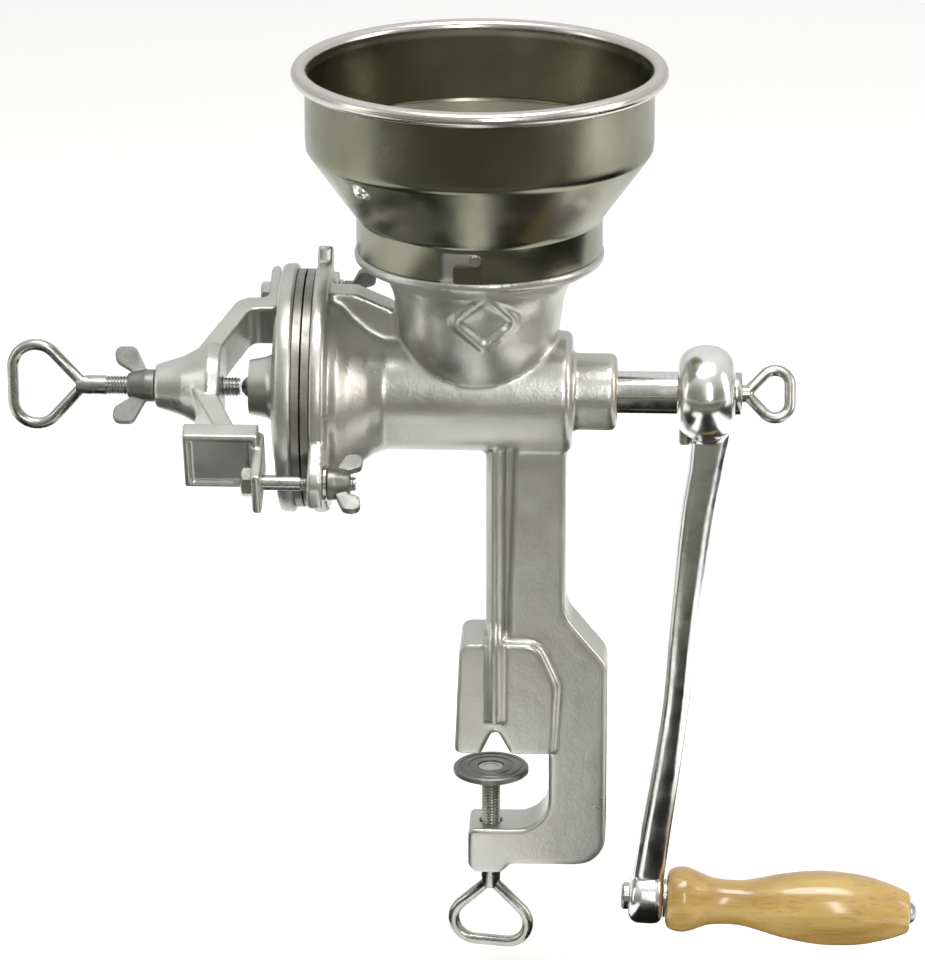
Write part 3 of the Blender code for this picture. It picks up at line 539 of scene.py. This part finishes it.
def varnished_wood():
    """Golden hardwood under varnish, its grain along the grip, with short darker pores."""
    finish = Finish("varnished_wood", 0.0, Coat_Weight=0.9, Coat_Roughness=0.14, IOR=1.48)
    turn = (0, -GRIP_TILT, 0)
    grain = finish.noise(120, 4, 0.55, finish.stretched((0.07, 1, 1), turn), distortion=0.5)
    streaks = finish.noise(700, 3, 0.6, finish.stretched((0.04, 1, 1), turn))
    wash = finish.noise(30, 2, 0.5, finish.stretched((0.4, 1, 1), turn))
    stops = [(0.25, (0.27, 0.155, 0.030)), (0.5, (0.40, 0.255, 0.062)), (0.75, (0.50, 0.35, 0.11))]
    gold = finish.ramp(grain, stops)
    pores = finish.ramp(streaks, [(0.32, (0.55, 0.38, 0.22)), (0.46, (1, 1, 1))])
    tone = finish.mix("MULTIPLY", 0.45, gold, pores)
    shade = finish.ramp(wash, [(0.3, (0.78, 0.70, 0.58)), (0.7, (1, 1, 1))])
    tone = finish.mix("MULTIPLY", 0.6, tone, shade)
    finish.bump(streaks, 0.02, 0.4)
    gloss = finish.ramp(grain, [(0.3, 0.34), (0.7, 0.48)])
    return finish.done(tone, gloss)


CAST = cast_tin()
SHEET = sheet_metal()
STEEL = plated_steel()
FORGED = forged_steel()
GROUND = ground_steel()
BRIGHT = bright_iron()
BURR = burr_iron()
BRONZE = bush_bronze()
WOOD = varnished_wood()


# ---------------------------------------------------------------- the body casting


def body_barrel():
    back = FLANGE_X + 6
    profile = [(0, 35), (13.7, 35), (15.5, 33.2), (15.5, 17), (22.5, 17), (BARREL_R, 15)]
    profile += [(BARREL_R, -58), (27, -64), (33, -71.5), (38, -76), (40, back), (48.8, back)]
    profile += [(50, back - 1.2), (50, FLANGE_X), (0, FLANGE_X)]
    return lathe_x("main_body_casting", profile, 128)


def cup_profile():
    stations = [(49.8, 208.3), (46, 206), (38.5, 201.8), (34.6, 194.4), (33, 185)]
    under = smooth_line(stations + [(31.5, 176), (28, 167.5), (21, 159)], 4)
    top = [(0, 224.3), (46.2, 224.3), (46.8, 223.7), (46.8, 211.8), (49.8, 211.8)]
    return top + [(float(r), float(z)) for r, z in under] + [(0, 154)]


def cup_hollow():
    stations = [(45, 215.8), (39, 208.8), (31, 201.8), (29.3, 186), (27, 176)]
    wall = smooth_line(stations + [(20, 166), (18, 160), (18, 151)], 4)
    profile = [(0, 230), (45, 230)] + [(float(r), float(z)) for r, z in wall] + [(0, 151)]
    return lathe("cup_hollow", profile, ON_HOPPER)


def clamp_frame():
    corners = [(-17.4, 136, 0), (14.7, 136, 0), (14.7, 59.5, 14), (32, 38.5, 8), (32, -50.4, 12)]
    corners += [(-7, -50.4, 3), (-11, -54.6, 3), (-24.6, -54.6, 5), (-24.6, -35, 2), (8.4, -35, 13)]
    corners += [(8.4, 8, 0), (-17.4, 8, 0)]
    return plate("clamp_frame", rounded(corners), -11.5, 11.5, UPRIGHT)


def upper_jaw():
    corners = [(-30, 0, 2), (-19, 0, 1), (-13.5, 12, 1.5), (-7, 0, 1), (10.5, 0, 0)]
    corners += [(12, 30, 8), (4, 48, 8), (-28, 48, 4)]
    return plate("upper_jaw", rounded(corners), -15, 15, UPRIGHT)


def yoke_lug(side):
    corners = [(40, -14, 0), (67, -9, 8.9), (67, 9, 8.9), (40, 14, 0)]
    outline = rounded([(side * y, z, radius) for y, z, radius in corners])
    place = Matrix.Translation((FLANGE_X, 0, 0)) @ ON_YOKE
    place = place @ Matrix.Rotation(math.pi / 2, 4, "Z") @ Matrix.Rotation(math.pi / 2, 4, "X")
    return plate(f"lug_{side}", outline, 0, 6, place)


def pedestal_bead(side):
    """The rib down the pedestal's edge and over the jaw, to the point of its notch."""
    path = smooth_line([(11.7, 136), (11.7, 64), (12.8, 54), (15.3, 46), (15.3, 14)], 5)
    points = [(side * y, z) for y, z in path]
    into_view = Matrix.Translation((-13.4, 0, 0)) @ Matrix.Rotation(math.pi / 2, 4, "Z") @ UPRIGHT
    return tube("bead", points, 3.1, into_view, 20, closed=False)


def pedestal_groove(side):
    """A tapering groove beside the rib."""
    outline = rounded([(-10, 132, 2), (-5.4, 132, 2), (-8.2, 50, 1), (-10, 50, 0.5)])
    low, high = sorted((side * -16, side * -8.5))
    return plate("groove", outline, low, high, UPRIGHT)


def cartouche():
    """A plain lozenge standing a little proud of the front of the cup."""
    place = ON_HOPPER @ Matrix.Rotation(math.radians(6), 4, "Z") @ UPRIGHT
    outer = rounded([(0, 204, 3), (15, 191, 3), (0, 178, 3), (-15, 191, 3)])
    inner = rounded([(0, 200.6, 2), (11, 191, 2), (0, 181.4, 2), (-11, 191, 2)])
    mark = plate("mark", outer, 22, 48, place)
    cut(mark, plate("mark_inside", inner, 20, 50, place))
    proud = [(radius + (1.1 if radius else 0), z) for radius, z in cup_profile()]
    return combine(mark, [lathe("proud", proud, ON_HOPPER, 128)], "INTERSECT")


def main_body():
    body = body_barrel()
    parts = [lathe("cup", cup_profile(), ON_HOPPER), clamp_frame(), upper_jaw()]
    rib = [(-84, 158, 0), (-84, 194, 0), (-70, 194, 4), (-56, 188, 6), (-40, 176, 0), (-40, 158, 0)]
    parts.append(plate("gusset", rounded(rib), -7.5, 7.5, UPRIGHT))
    lean = ON_SHAFT @ Matrix.Rotation(math.radians(-20), 4, "X")
    parts.append(block("top_lug", (FLANGE_X, -6, 40), (FLANGE_X + 6, 6, 57), lean))
    parts += [yoke_lug(-1), yoke_lug(1)]
    join(body, *parts)
    join(body, *[pedestal_bead(side) for side in (-1, 1)])
    cut(body, *[pedestal_groove(side) for side in (-1, 1)])
    join(body, cartouche())
    bore = [(0, 40), (11.3, 40), (11.3, 6), (9.4, 6), (9.4, -4), (BORE_R, -7), (BORE_R, -91), (0, -91)]
    holes = [cup_hollow(), lathe_x("bore", bore, 64)]
    for side in (-1, 1):
        y, z = around_shaft(side * BOLT_CIRCLE)
        holes.append(rod("bolt_hole", (FLANGE_X - 2, y, z), (FLANGE_X + 9, y, z), 3.6))
    holes.append(rod("clamp_hole", (CLAMP_X, 0, -60), (CLAMP_X, 0, -30), 4.5))
    cut(body, *holes)
    cast(body, 0.9, 7)
    finish_piece(body, CAST, "mill", ["main_body"], 0)


# ---------------------------------------------------------------- the hopper


def hopper_line():
    """The middle of the sheet, from the skirt up and round the rim's wire."""
    roll = 2.7
    centre_r = 74.5 - roll - 0.45
    centre_z = HOPPER_HIGH.z - roll - 0.45
    bottom = HOPPER_LOW.z
    wall = centre_r - roll
    line = [(48.6, bottom), (48.6, 225.2), (49.1, 227), (50.4, 228.8)]
    line += [(67.6, 252.8), (68.4, 254.2), (wall - 0.1, 256), (wall, 257.8), (wall, centre_z - 1.5)]
    for degrees in range(180, -136, -15):
        angle = math.radians(degrees)
        line.append((centre_r + roll * math.cos(angle), centre_z + roll * math.sin(angle)))
    return [Vector(point) for point in line]


def thickened(line, thickness):
    """A closed outline round an open line, half the thickness to each side."""
    one = []
    other = []
    for i, point in enumerate(line):
        before = (point - line[i - 1]).normalized() if i else None
        after = (line[i + 1] - point).normalized() if i + 1 < len(line) else None
        along = ((before or after) + (after or before)).normalized()
        across = Vector((-along.y, along.x))
        end = after or before
        bend = across.dot(Vector((-end.y, end.x)))
        one.append(point + across * thickness / 2 / bend)
        other.append(point - across * thickness / 2 / bend)
    return one + other[::-1]


def slot_cutter(side):
    low = HOPPER_LOW.z - 5
    corners = [(-13.6, low, 0), (-8.4, low, 0), (-8.4, 218.3, 1), (2.8, 218.3, 2.6)]
    corners += [(2.8, 223.8, 2.6), (-13.6, 223.8, 2)]
    turn = Matrix.Identity(4) if side < 0 else Matrix.Rotation(math.pi, 4, "Z")
    place = ON_HOPPER @ turn @ Matrix.Translation((0, -48, 0)) @ UPRIGHT
    return plate("slot", rounded(corners, 5), -10, 10, place)


def dimple():
    """A small round dimple pressed out of the cone, just below its knee."""
    turn = ON_HOPPER @ Matrix.Rotation(DIMPLE_ANGLE, 4, "Z")
    lean = Matrix.Rotation(math.radians(125), 4, "Y")
    place = turn @ Matrix.Translation((DIMPLE_R, 0, DIMPLE_Z)) @ lean
    dome = [(0, 2.5), (1.5, 2.3), (2.8, 1.6), (3.6, 0.4), (3.6, -0.3), (0, -0.3)]
    return lathe("dimple", dome, place, 24)


def hopper():
    outline = [(p.x, p.y) for p in thickened(hopper_line(), 0.9)]
    shell = lathe("hopper_sheet", outline, ON_HOPPER, 192)
    cut(shell, slot_cutter(-1), slot_cutter(1))
    join(shell, dimple())
    finish_piece(shell, SHEET, "hopper", ["hopper_shell"], 50)


# ---------------------------------------------------------------- burrs and carrier


def burr_carrier():
    low, high = box_mm("burr_carrier")
    front = high.x
    profile = [(0, front), (49, front), (50, front - 0.9), (50, front - 4.2), (49.2, front - 5.8)]
    dish = [(47.4, front - 6.4), (45, front - 5.8), (43.4, front - 4.4), (40, front - 4.6)]
    dish += [(34, front - 7.4), (30, front - 8.8), (16, front - 9)]
    profile += dish + [(13.5, front - 10.5), (12.3, front - 13), (11, low.x), (0, low.x)]
    carrier = lathe_x("burr_carrier_casting", profile, 128)
    half = 6.3
    socket = block("socket", (-104.5, -half, SHAFT_Z - half), (front + 1, half, SHAFT_Z + half))
    cut(carrier, socket, rod("seat", (low.x - 1, 0, SHAFT_Z), (-107.2, 0, SHAFT_Z), 4.8))
    bevel(carrier, 0.5)
    finish_piece(carrier, CAST, "drive", ["burr_carrier"])


def burr(name, node, body, hole, face_side):
    """A grinding ring with slanted grooves cut across its face."""
    low, high = box_mm(node)
    back, face = (low.x, high.x) if face_side > 0 else (high.x, low.x)
    ring = lathe_x(name, [(48, back), (48, face), (hole, face), (hole, back)], 96)
    grooves = []
    for i in range(30):
        spin = Matrix.Rotation(math.tau * i / 30, 4, "X")
        slant = Matrix.Translation((0, 7, 0)) @ Matrix.Rotation(math.radians(12), 4, "X")
        edge = sorted((face - face_side * 0.9, face + face_side))
        groove = block("groove", (edge[0], -0.9, 24), (edge[1], 0.9, 46), ON_SHAFT @ spin @ slant)
        grooves.append(groove)
    cut(ring, *grooves)
    sinks = []
    for i in range(3):
        y, z = around_shaft(38, math.radians(90) + i * math.tau / 3)
        sinks.append(
            rod("sink", (face + face_side, y, z), (back - face_side, y, z), 5.2, 24, 2.3)
        )
    cut(ring, *sinks)
    finish_piece(ring, BURR, body, [node])


# ---------------------------------------------------------------- auger, crank and grip


def auger():
    low, high = box_mm("auger_shaft")
    end = high.x
    shaft = lathe_x("feed_screw", [(0, end), (7.7, end), (8.5, end - 0.8), (8.5, -84), (0, -84)], 64)
    pitch, turns, steps = 26, 2.75, 64
    inner, outer = 5, 18.6
    section = [(inner, -3), (14, -1.9), (outer - 0.4, -1.6), (outer, -1.2)]
    section += [(outer, 1.2), (outer - 0.4, 1.6), (14, 1.9), (inner, 3)]
    points = []
    rows = round(steps * turns)
    for row in range(rows + 1):
        angle = math.tau * turns * row / rows
        shift = pitch * turns * row / rows
        grow = min(1, row / 12, (rows - row) / 12)
        for radius, height in section:
            r = inner + (radius - inner) * (0.25 + 0.75 * grow)
            points.append((r * math.cos(angle), r * math.sin(angle), height + shift))
    place = Matrix.Translation((-80.5, 0, SHAFT_Z)) @ ALONG_X
    flight = loft("flight", points, len(section), place)
    half = 6
    shank = block("shank", (low.x, -half, SHAFT_Z - half), (-80, half, SHAFT_Z + half))
    join(shaft, flight, shank)
    cut(shaft, rod("tap", (64, 0, SHAFT_Z), (83, 0, SHAFT_Z), 3.3, 24))
    finish_piece(shaft, GROUND, "drive", ["auger_shaft"])


def arm_stations():
    """(x, z, half width) along the arm, from the hub down."""
    stations = [(70.5, 152, 11), (72, 140, 9.4), (72.2, 133, 8), (71.4, 126, 7.4), (70.4, 118, 7.1)]
    stations += [(67.5, 99, 6.9), (64.1, 66, 6.3), (62.3, 46, 5.9), (61.3, 32, 5.7), (60.1, 18, 5.6)]
    stations += [(58.7, 6, 5.7), (56.9, -8, 5.9), (54.8, -23, 6.1), (52.7, -38, 6.3)]
    return stations + [(50.7, -54, 6.4), (49, -69, 6.4)]


def arm_body():
    """The arm: an oval section swept down its stations."""
    centre = smooth_line(arm_stations(), 8)
    sides = 28
    points = []
    for i, (x, z, half) in enumerate(centre):
        before = Vector(centre[max(i - 1, 0)][:2])
        after = Vector(centre[min(i + 1, len(centre) - 1)][:2])
        across = (after - before).normalized().orthogonal()
        for side in range(sides):
            angle = math.tau * side / sides
            wide = math.copysign(abs(math.cos(angle)) ** 0.55, math.cos(angle)) * half
            deep = math.copysign(abs(math.sin(angle)) ** 0.7, math.sin(angle)) * 5.6
            points.append((x + across.x * wide, z + across.y * wide, deep))
    return loft("arm", points, sides, UPRIGHT)


def crank_arm():
    hub = [(0, 82), (10, 82), (14.2, 81), (17, 78.6), (18.9, 75), (19.5, 70.5), (18.9, 66)]
    hub += [(17, 62.4), (14.2, 60), (10, 59), (0, 59)]
    crank = lathe_x("crank_casting", [(float(r), float(x)) for r, x in smooth_line(hub, 3)], 64)
    boss = [(0, 7), (8.6, 7), (10.6, 5.4), (11, 3), (11, -3.4), (10, -5.6), (7.5, -7), (0, -7)]
    join(crank, arm_body(), lathe("boss", boss, ON_GRIP, 48))
    cut(
        crank,
        rod("hub_bore", (54, 0, SHAFT_Z), (87, 0, SHAFT_Z), 8.8, 48),
        lathe("pin_hole", [(0, 12), (3.3, 12), (3.3, -12), (0, -12)], ON_GRIP, 24),
        rod("set_hole", (62.3, 0, 150), (62.3, 0, 125), 2.8, 24),
    )
    cast(crank, 0.55, 14)
    finish_piece(crank, BRIGHT, "drive", ["crank_arm"], 0)


def ring_outline(length, width, wire):
    """The middle line of a ring like a rounded triangle, its tip at the origin."""
    far = length - wire
    bend = width / 4
    centre = Vector((far - bend, width / 2 - wire - bend))
    spread = math.atan2(centre.y, centre.x) + math.asin(bend / centre.length)
    side = far * math.tan(spread)
    return rounded([(0, 0, 2.5), (far, side, bend), (far, -side, bend)], 16)


def crank_thumb_screw():
    collar = [(0, 88), (3.2, 88), (3.4, 85.2), (8, 84.8), (8.5, 84.2), (8.5, 82.3), (3, 82.3), (0, 82.3)]
    screw = lathe_x("crank_ring_screw", collar, 48)
    thread = threaded("thread", 66, 82.6, 3, 1, ON_SHAFT @ ALONG_X, 0.5)
    place = Matrix.Translation((86.5, 0, SHAFT_Z)) @ Matrix.Rotation(math.radians(-30), 4, "X") @ UPRIGHT
    join(screw, thread, tube("ring", ring_outline(20, 24, 2.3), 2.3, place))
    finish_piece(screw, STEEL, "crank_screw", ["crank_thumb_screw"], 50)


def crank_set_screw():
    low, high = box_mm("crank_set_screw")
    place = Matrix.Translation((62.3, 0, 0))
    screw = threaded("crank_stud", low.z, high.z, 2.5, 0.8, place, 0.4, 0.8)
    finish_piece(screw, STEEL, "drive", ["crank_set_screw"], 50)


def grip():
    outline = [(0, 9.6), (0.6, 11.4), (2.2, 12.8), (5, 13.5), (8, 13.5), (11, 12.7), (14, 11.4)]
    outline += [(18, 10), (24, 9.3), (33, 9.7), (48, 13.2), (60, 15), (70, 15.3), (82, 14.2)]
    outline += [(93, 11.3), (98, 9.4), (100.2, 8.3), (101, 7.0)]
    line = [(float(r), 8.5 + float(x)) for x, r in smooth_line(outline, 4)]
    profile = line + [(4.2, 109.5), (3.3, 108.6), (3.3, 8.5)]

    def out_of_round(angle, radius, height):
        return 0.05 * math.sin(2 * angle + height * 0.03) + 0.03 * math.sin(height * 0.9) * (radius > 5)

    piece = lathe("wooden_grip", profile, ON_GRIP, 96, out_of_round)
    finish_piece(piece, WOOD, "grip", ["grip"], 45)


def grip_pin():
    head = [(0, 112.4), (1.6, 112.3), (3.4, 111.4), (4.6, 109.8), (3, 109.8), (3, -10.2), (0, -10.2)]
    piece = lathe("grip_rivet", head, ON_GRIP, 32)
    finish_piece(piece, STEEL, "drive", ["grip_pin"])


# ---------------------------------------------------------------- yoke, screws and nuts


def yoke_arm(side):
    corners = [(-137, -3, 0), (-135, 12, 6), (-120, 45, 7), (-108, 46, 3), (-108, 66, 2)]
    corners += [(-104, 66, 1.5), (-104, 38, 3), (-115, 38, 5), (-126, 12, 5), (-126, -3, 0)]
    outline = rounded([(x, side * y, radius) for x, y, radius in corners], 6)
    return plate(f"yoke_arm_{side}", outline, -9.5, 9.5, ON_YOKE)


def yoke():
    hub = [(0, -124), (17, -124), (18, -129), (12, -140), (9.8, -147), (8.9, -150)]
    hub += [(8.2, YOKE_END), (0, YOKE_END)]
    piece = lathe_x("yoke_casting", hub)
    panel = block("panel", (-136, -48, -12), (EAR_X + 2, -40, 15), ON_YOKE)
    join(piece, yoke_arm(-1), yoke_arm(1), panel)
    inset = block("inset", (-133.5, -49, -9.5), (EAR_X - 1, -46.6, 12.5), ON_YOKE)
    cut(piece, inset)
    low = (YOKE_END - 5, 0, SHAFT_Z)
    holes = [rod("adjust_bore", low, (-120, 0, SHAFT_Z), 4.4)]
    for side in (-1, 1):
        y, z = around_shaft(side * BOLT_CIRCLE)
        holes.append(rod("ear_hole", (EAR_X - 9, y, z), (-100, y, z), 3.5))
    cut(piece, *holes)
    cast(piece, 0.6, 7)
    finish_piece(piece, CAST, "mill", ["yoke"], 0)


def yoke_bolt(name, side):
    y, z = around_shaft(side * BOLT_CIRCLE)
    low, high = box_mm(name)
    place = Matrix.Translation((0, y, z)) @ ALONG_X
    bolt = threaded(name + "_thread", -90, high.x, 3, 1, place, 0.5)
    head = rod("head", (low.x, y, z), (low.x + 4, y, z), 6, 6)
    crown = [(0, low.x - 0.2), (4.6, low.x), (6.4, low.x + 1.2), (6.4, low.x + 4), (0, low.x + 4)]
    dome = lathe("dome", crown, place, 48)
    combine(head, [dome], "INTERSECT")
    join(bolt, head, rod("shank", (low.x + 2, y, z), (-89, y, z), 3))
    finish_piece(bolt, STEEL, "mill", [name])


def wing_nut(name, node, body, base, direction, hole, height, span, angle, y=0, z=None):
    z = SHAFT_Z if z is None else z
    top = base + direction * height
    slope = [(6.6, base), (6.5, base + direction * height * 0.35), (5, top - direction * 0.6)]
    nut = lathe_x(name, slope + [(4.6, top), (hole, top), (hole, base)], 48, y, z)
    place = Matrix.Translation((base, y, z)) @ Matrix.Rotation(angle, 4, "X") @ UPRIGHT
    half = span / 2
    wings = []
    for side in (-1, 1):
        corners = [(0.5, 5, 0), (3, 5.5, 0), (height * 0.75, half, 3), (height * 1.55, half, 3)]
        corners += [(height * 1.45, half - 6.5, 2.5), (height * 0.8, 5, 0)]
        outline = rounded([(direction * x, side * v, radius) for x, v, radius in corners], 6)
        wings.append(plate("wing", outline, -1.7, 1.7, place))
    join(nut, *wings)
    cast(nut, 0.3, 5)
    finish_piece(nut, FORGED, body, [node], 0)


def wing_nuts():
    hole = 4.35
    lean = math.radians(-35)
    wing_nut("lock_nut_forged", "lock_wing_nut", "lock_nut", YOKE_END - 0.3, -1, hole, 11, 32, lean)
    base = FLANGE_X + 6 + 1.8
    for end, side, degrees in (("front", -1, -55), ("rear", 1, 20)):
        y, z = around_shaft(side * BOLT_CIRCLE)
        name = f"yoke_nut_{end}"
        lean = math.radians(degrees)
        wing_nut(name + "_forged", f"yoke_wing_nut_{end}", name, base, 1, 3.35, 9, 27, lean, y, z)


def adjusting_screw():
    place = Matrix.Translation((0, 0, SHAFT_Z)) @ ALONG_X
    thread = threaded("adjusting_thread", -172, -116.8, 4, 1.25, place)
    neck = lathe_x("neck", [(0, -171), (3.9, -171), (3.9, -178), (3.2, -183), (0, -183)], 32)
    ring_place = Matrix.Translation((-180, 0, SHAFT_Z)) @ Matrix.Rotation(math.pi, 4, "Z") @ UPRIGHT
    ring = tube("ring", ring_outline(31, 38, 2.3), 2.3, ring_place, 20)
    join(thread, neck, ring)
    finish_piece(thread, STEEL, "adjuster", ["adjusting_screw"], 50)


def clamp_screw():
    shoulder = PAD_HIGH.z - 6.3
    end = PAD_HIGH.z - 0.5
    tip = lathe("tip", [(0, end), (3, end), (3, shoulder - 1), (0, shoulder - 1)], ON_CLAMP, 32)
    thread = threaded("clamp_thread", -57, shoulder, 4, 1.25, ON_CLAMP)
    neck = lathe("neck", [(0, -56), (3.9, -56), (3.9, -61), (3.2, -65), (0, -65)], ON_CLAMP, 32)
    ring_place = (
        Matrix.Translation((CLAMP_X, 0, -62))
        @ Matrix.Rotation(math.radians(-10), 4, "Z")
        @ Matrix.Rotation(math.pi / 2, 4, "Y")
        @ UPRIGHT
    )
    ring = tube("ring", ring_outline(30, 36, 2.3), 2.3, ring_place, 20)
    join(thread, tip, neck, ring)
    finish_piece(thread, STEEL, "clamp_spindle", ["clamp_screw"], 50)


def clamp_pad():
    top = PAD_HIGH.z
    ring = [(15.5, top - 0.7), (15.5, top - 2.4), (15, top - 2.8), (7.5, top - 3.9), (6.8, top - 4.6)]
    ring += [(6.5, top - 6), (3.3, top - 6), (3.3, top - 1.6), (5.4, top - 1.6), (5.4, top)]
    ring += [(8.6, top), (8.9, top - 0.35), (9.5, top - 0.35), (9.8, top)]
    ring += [(12, top), (12.3, top - 0.35), (12.9, top - 0.35), (13.2, top), (14.8, top)]
    pad = lathe("pressed_pad", ring, ON_CLAMP, 96)
    finish_piece(pad, FORGED, "pad", ["clamp_pad"])


# ---------------------------------------------------------------- everything else


def plain_nodes():
    """CAD nodes whose shape is right as it is: they only take a material."""
    steel = ["hopper_rim_wire", "bayonet_pin_front", "bayonet_pin_rear", "thrust_ball", "grip_pin_nut"]
    steel += ["grip_washer", "yoke_washer_front", "yoke_washer_rear", "clamp_pad_ring"]
    steel += [f"{side}_burr_screw_{i}" for side in ("fixed", "turning") for i in (1, 2, 3)]
    for name, material in [(node, STEEL) for node in steel] + [("shaft_bush", BRONZE)]:
        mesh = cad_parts[name].data
        mesh.materials.clear()
        mesh.materials.append(material)
        mesh.shade_smooth()
        mesh.set_sharp_from_angle(angle=math.radians(40))


def glow_gradient(nodes, links, place, direction, stops):
    """The grey of a smooth gradient along a direction; stops are (distance along it, grey)."""
    along = nodes.new("ShaderNodeVectorMath")
    along.operation = "DOT_PRODUCT"
    along.inputs[1].default_value = direction
    links.new(place, along.inputs[0])
    spread = nodes.new("ShaderNodeMapRange")
    spread.inputs["From Min"].default_value = stops[0][0]
    spread.inputs["From Max"].default_value = stops[-1][0]
    links.new(along.outputs["Value"], spread.inputs["Value"])
    ramp = nodes.new("ShaderNodeValToRGB")
    ramp.color_ramp.interpolation = "EASE"
    elements = ramp.color_ramp.elements
    while len(elements) < len(stops):
        elements.new(0.5)
    for element, (distance, grey) in zip(elements, stops):
        element.position = (distance - stops[0][0]) / (stops[-1][0] - stops[0][0])
        element.color = (grey, grey, grey * min(1, 0.72 + 0.35 * grey), 1)
    links.new(spread.outputs["Result"], ramp.inputs["Fac"])
    return ramp.outputs["Color"]


def glowing(name, direction, stops):
    """A material that only glows, graded along a direction."""
    material = bpy.data.materials.new(name)
    material.use_nodes = True
    nodes = material.node_tree.nodes
    links = material.node_tree.links
    nodes.clear()
    glow = nodes.new("ShaderNodeEmission")
    place = nodes.new("ShaderNodeTexCoord").outputs["Object"]
    links.new(glow_gradient(nodes, links, place, direction, stops), glow.inputs["Color"])
    links.new(glow.outputs["Emission"], nodes.new("ShaderNodeOutputMaterial").inputs["Surface"])
    return material


def floor():
    low = CAD_BOUNDS[0].z / M - 22
    obj = block("floor", (-6000, -6000, low - 2), (6000, 6000, low))
    surface = Finish("pale_floor", 0.0, Emission_Color=(1, 1, 1, 1), Emission_Strength=0.12)
    tone = surface.ramp(surface.noise(2, 2), [(0.3, 0.91), (0.7, 0.93)])
    rough = surface.ramp(surface.noise(3, 2), [(0.3, 0.75), (0.7, 0.8)])
    obj.data.materials.append(surface.done(tone, rough))
    return low


def backdrop():
    """A pale round wall far behind the floor, seen by the camera only."""
    profile = [(5500, -600), (5500, 5000), (5501, 5000), (5501, -600)]
    wall = lathe("backdrop", profile, Matrix.Identity(4), 64)
    wall.data.materials.append(glowing("pale_wall", (0, 0, 1), [(-0.6, 0.96), (5, 1)]))
    wall.visible_diffuse = False
    wall.visible_glossy = False
    wall.visible_shadow = False
    wall.visible_transmission = False


def dark_cards(low):
    """Dark graded cards on the studio floor, which only reflections see."""
    stops = [(0.3, 0.01), (0.5, 0.09), (0.72, 0.28), (1.1, 0.14)]
    material = glowing("dark_card", (0, -1, 0), stops)
    corners = {
        "front_card": ((-2500, -3000), (2500, -430)),
        "right_card": ((10, -429), (200, 400)),
        "left_card": ((-230, -260), (-75, 100)),
        "far_right_card": ((430, -429), (1000, 400)),
        "far_left_card": ((-450, -429), (-231, 250)),
    }
    for name, (near, far) in corners.items():
        card = block(name, (*near, low + 0.5), (*far, low + 1))
        card.data.materials.append(material)
        card.visible_camera = False
        card.visible_diffuse = False
        card.visible_shadow = False
        card.visible_transmission = False


def lights():
    def area(name, place, aim, size, power, colour=(1, 1, 1)):
        lamp = bpy.data.lights.new(name, "AREA")
        lamp.shape = "RECTANGLE"
        lamp.size = size[0]
        lamp.size_y = size[1]
        lamp.energy = power
        lamp.spread = math.radians(130)
        lamp.color = colour
        obj = bpy.data.objects.new(name, lamp)
        obj.location = place
        obj.rotation_mode = "QUATERNION"
        obj.rotation_quaternion = (Vector(aim) - Vector(place)).to_track_quat("-Z", "Y")
        bpy.context.scene.collection.objects.link(obj)

    centre = (0, 0, 0.1)
    area("overhead", (0.05, -0.35, 1.5), centre, (0.9, 0.6), 8.5)
    area("front_strip", (0.42, -1.9, 0.9), centre, (0.22, 1.3), 6)
    area("left_box", (-1.5, -0.35, 0.5), centre, (0.3, 1.2), 1.8)
    area("right_box", (1.5, -0.2, 0.6), centre, (0.4, 1.2), 5, (1, 0.93, 0.87))
    world = bpy.data.worlds.new("studio")
    bpy.context.scene.world = world
    world.use_nodes = True
    nodes = world.node_tree.nodes
    links = world.node_tree.links
    place = nodes.new("ShaderNodeTexCoord").outputs["Generated"]
    stops = [(-0.7, 0.10), (-0.1, 0.28), (0.45, 0.72), (1, 0.95)]
    tone = glow_gradient(nodes, links, place, (0, 0.45, 0.9), stops)
    links.new(tone, nodes["Background"].inputs["Color"])
    nodes["Background"].inputs["Strength"].default_value = 1.0
    bpy.context.scene.view_settings.view_transform = "Standard"


def camera():
    """A long lens a little above the mill, almost square to the crank shaft."""
    azimuth = math.radians(2.5)
    elevation = math.radians(19.5)
    level_distance = 2.0
    aim = Vector((-0.02728, 0, 0.11352))
    data = bpy.data.cameras.new("camera")
    data.lens = 196.7
    data.sensor_width = 36
    data.clip_end = 50
    obj = bpy.data.objects.new("camera", data)
    back = Vector((math.sin(azimuth), -math.cos(azimuth), math.tan(elevation)))
    obj.location = aim + back * level_distance
    obj.rotation_mode = "QUATERNION"
    obj.rotation_quaternion = (-back).to_track_quat("-Z", "Y")
    bpy.context.scene.collection.objects.link(obj)
    bpy.context.scene.camera = obj


main_body()
hopper()
burr_carrier()
burr("fixed_burr_cut", "fixed_burr", "mill", BORE_R, -1)
burr("turning_burr_cut", "turning_burr", "drive", 12, 1)
auger()
crank_arm()
crank_thumb_screw()
crank_set_screw()
grip()
grip_pin()
yoke()
yoke_bolt("yoke_bolt_front", -1)
yoke_bolt("yoke_bolt_rear", 1)
wing_nuts()
adjusting_screw()
clamp_screw()
clamp_pad()
plain_nodes()
dark_cards(floor())
backdrop()
lights()
camera()
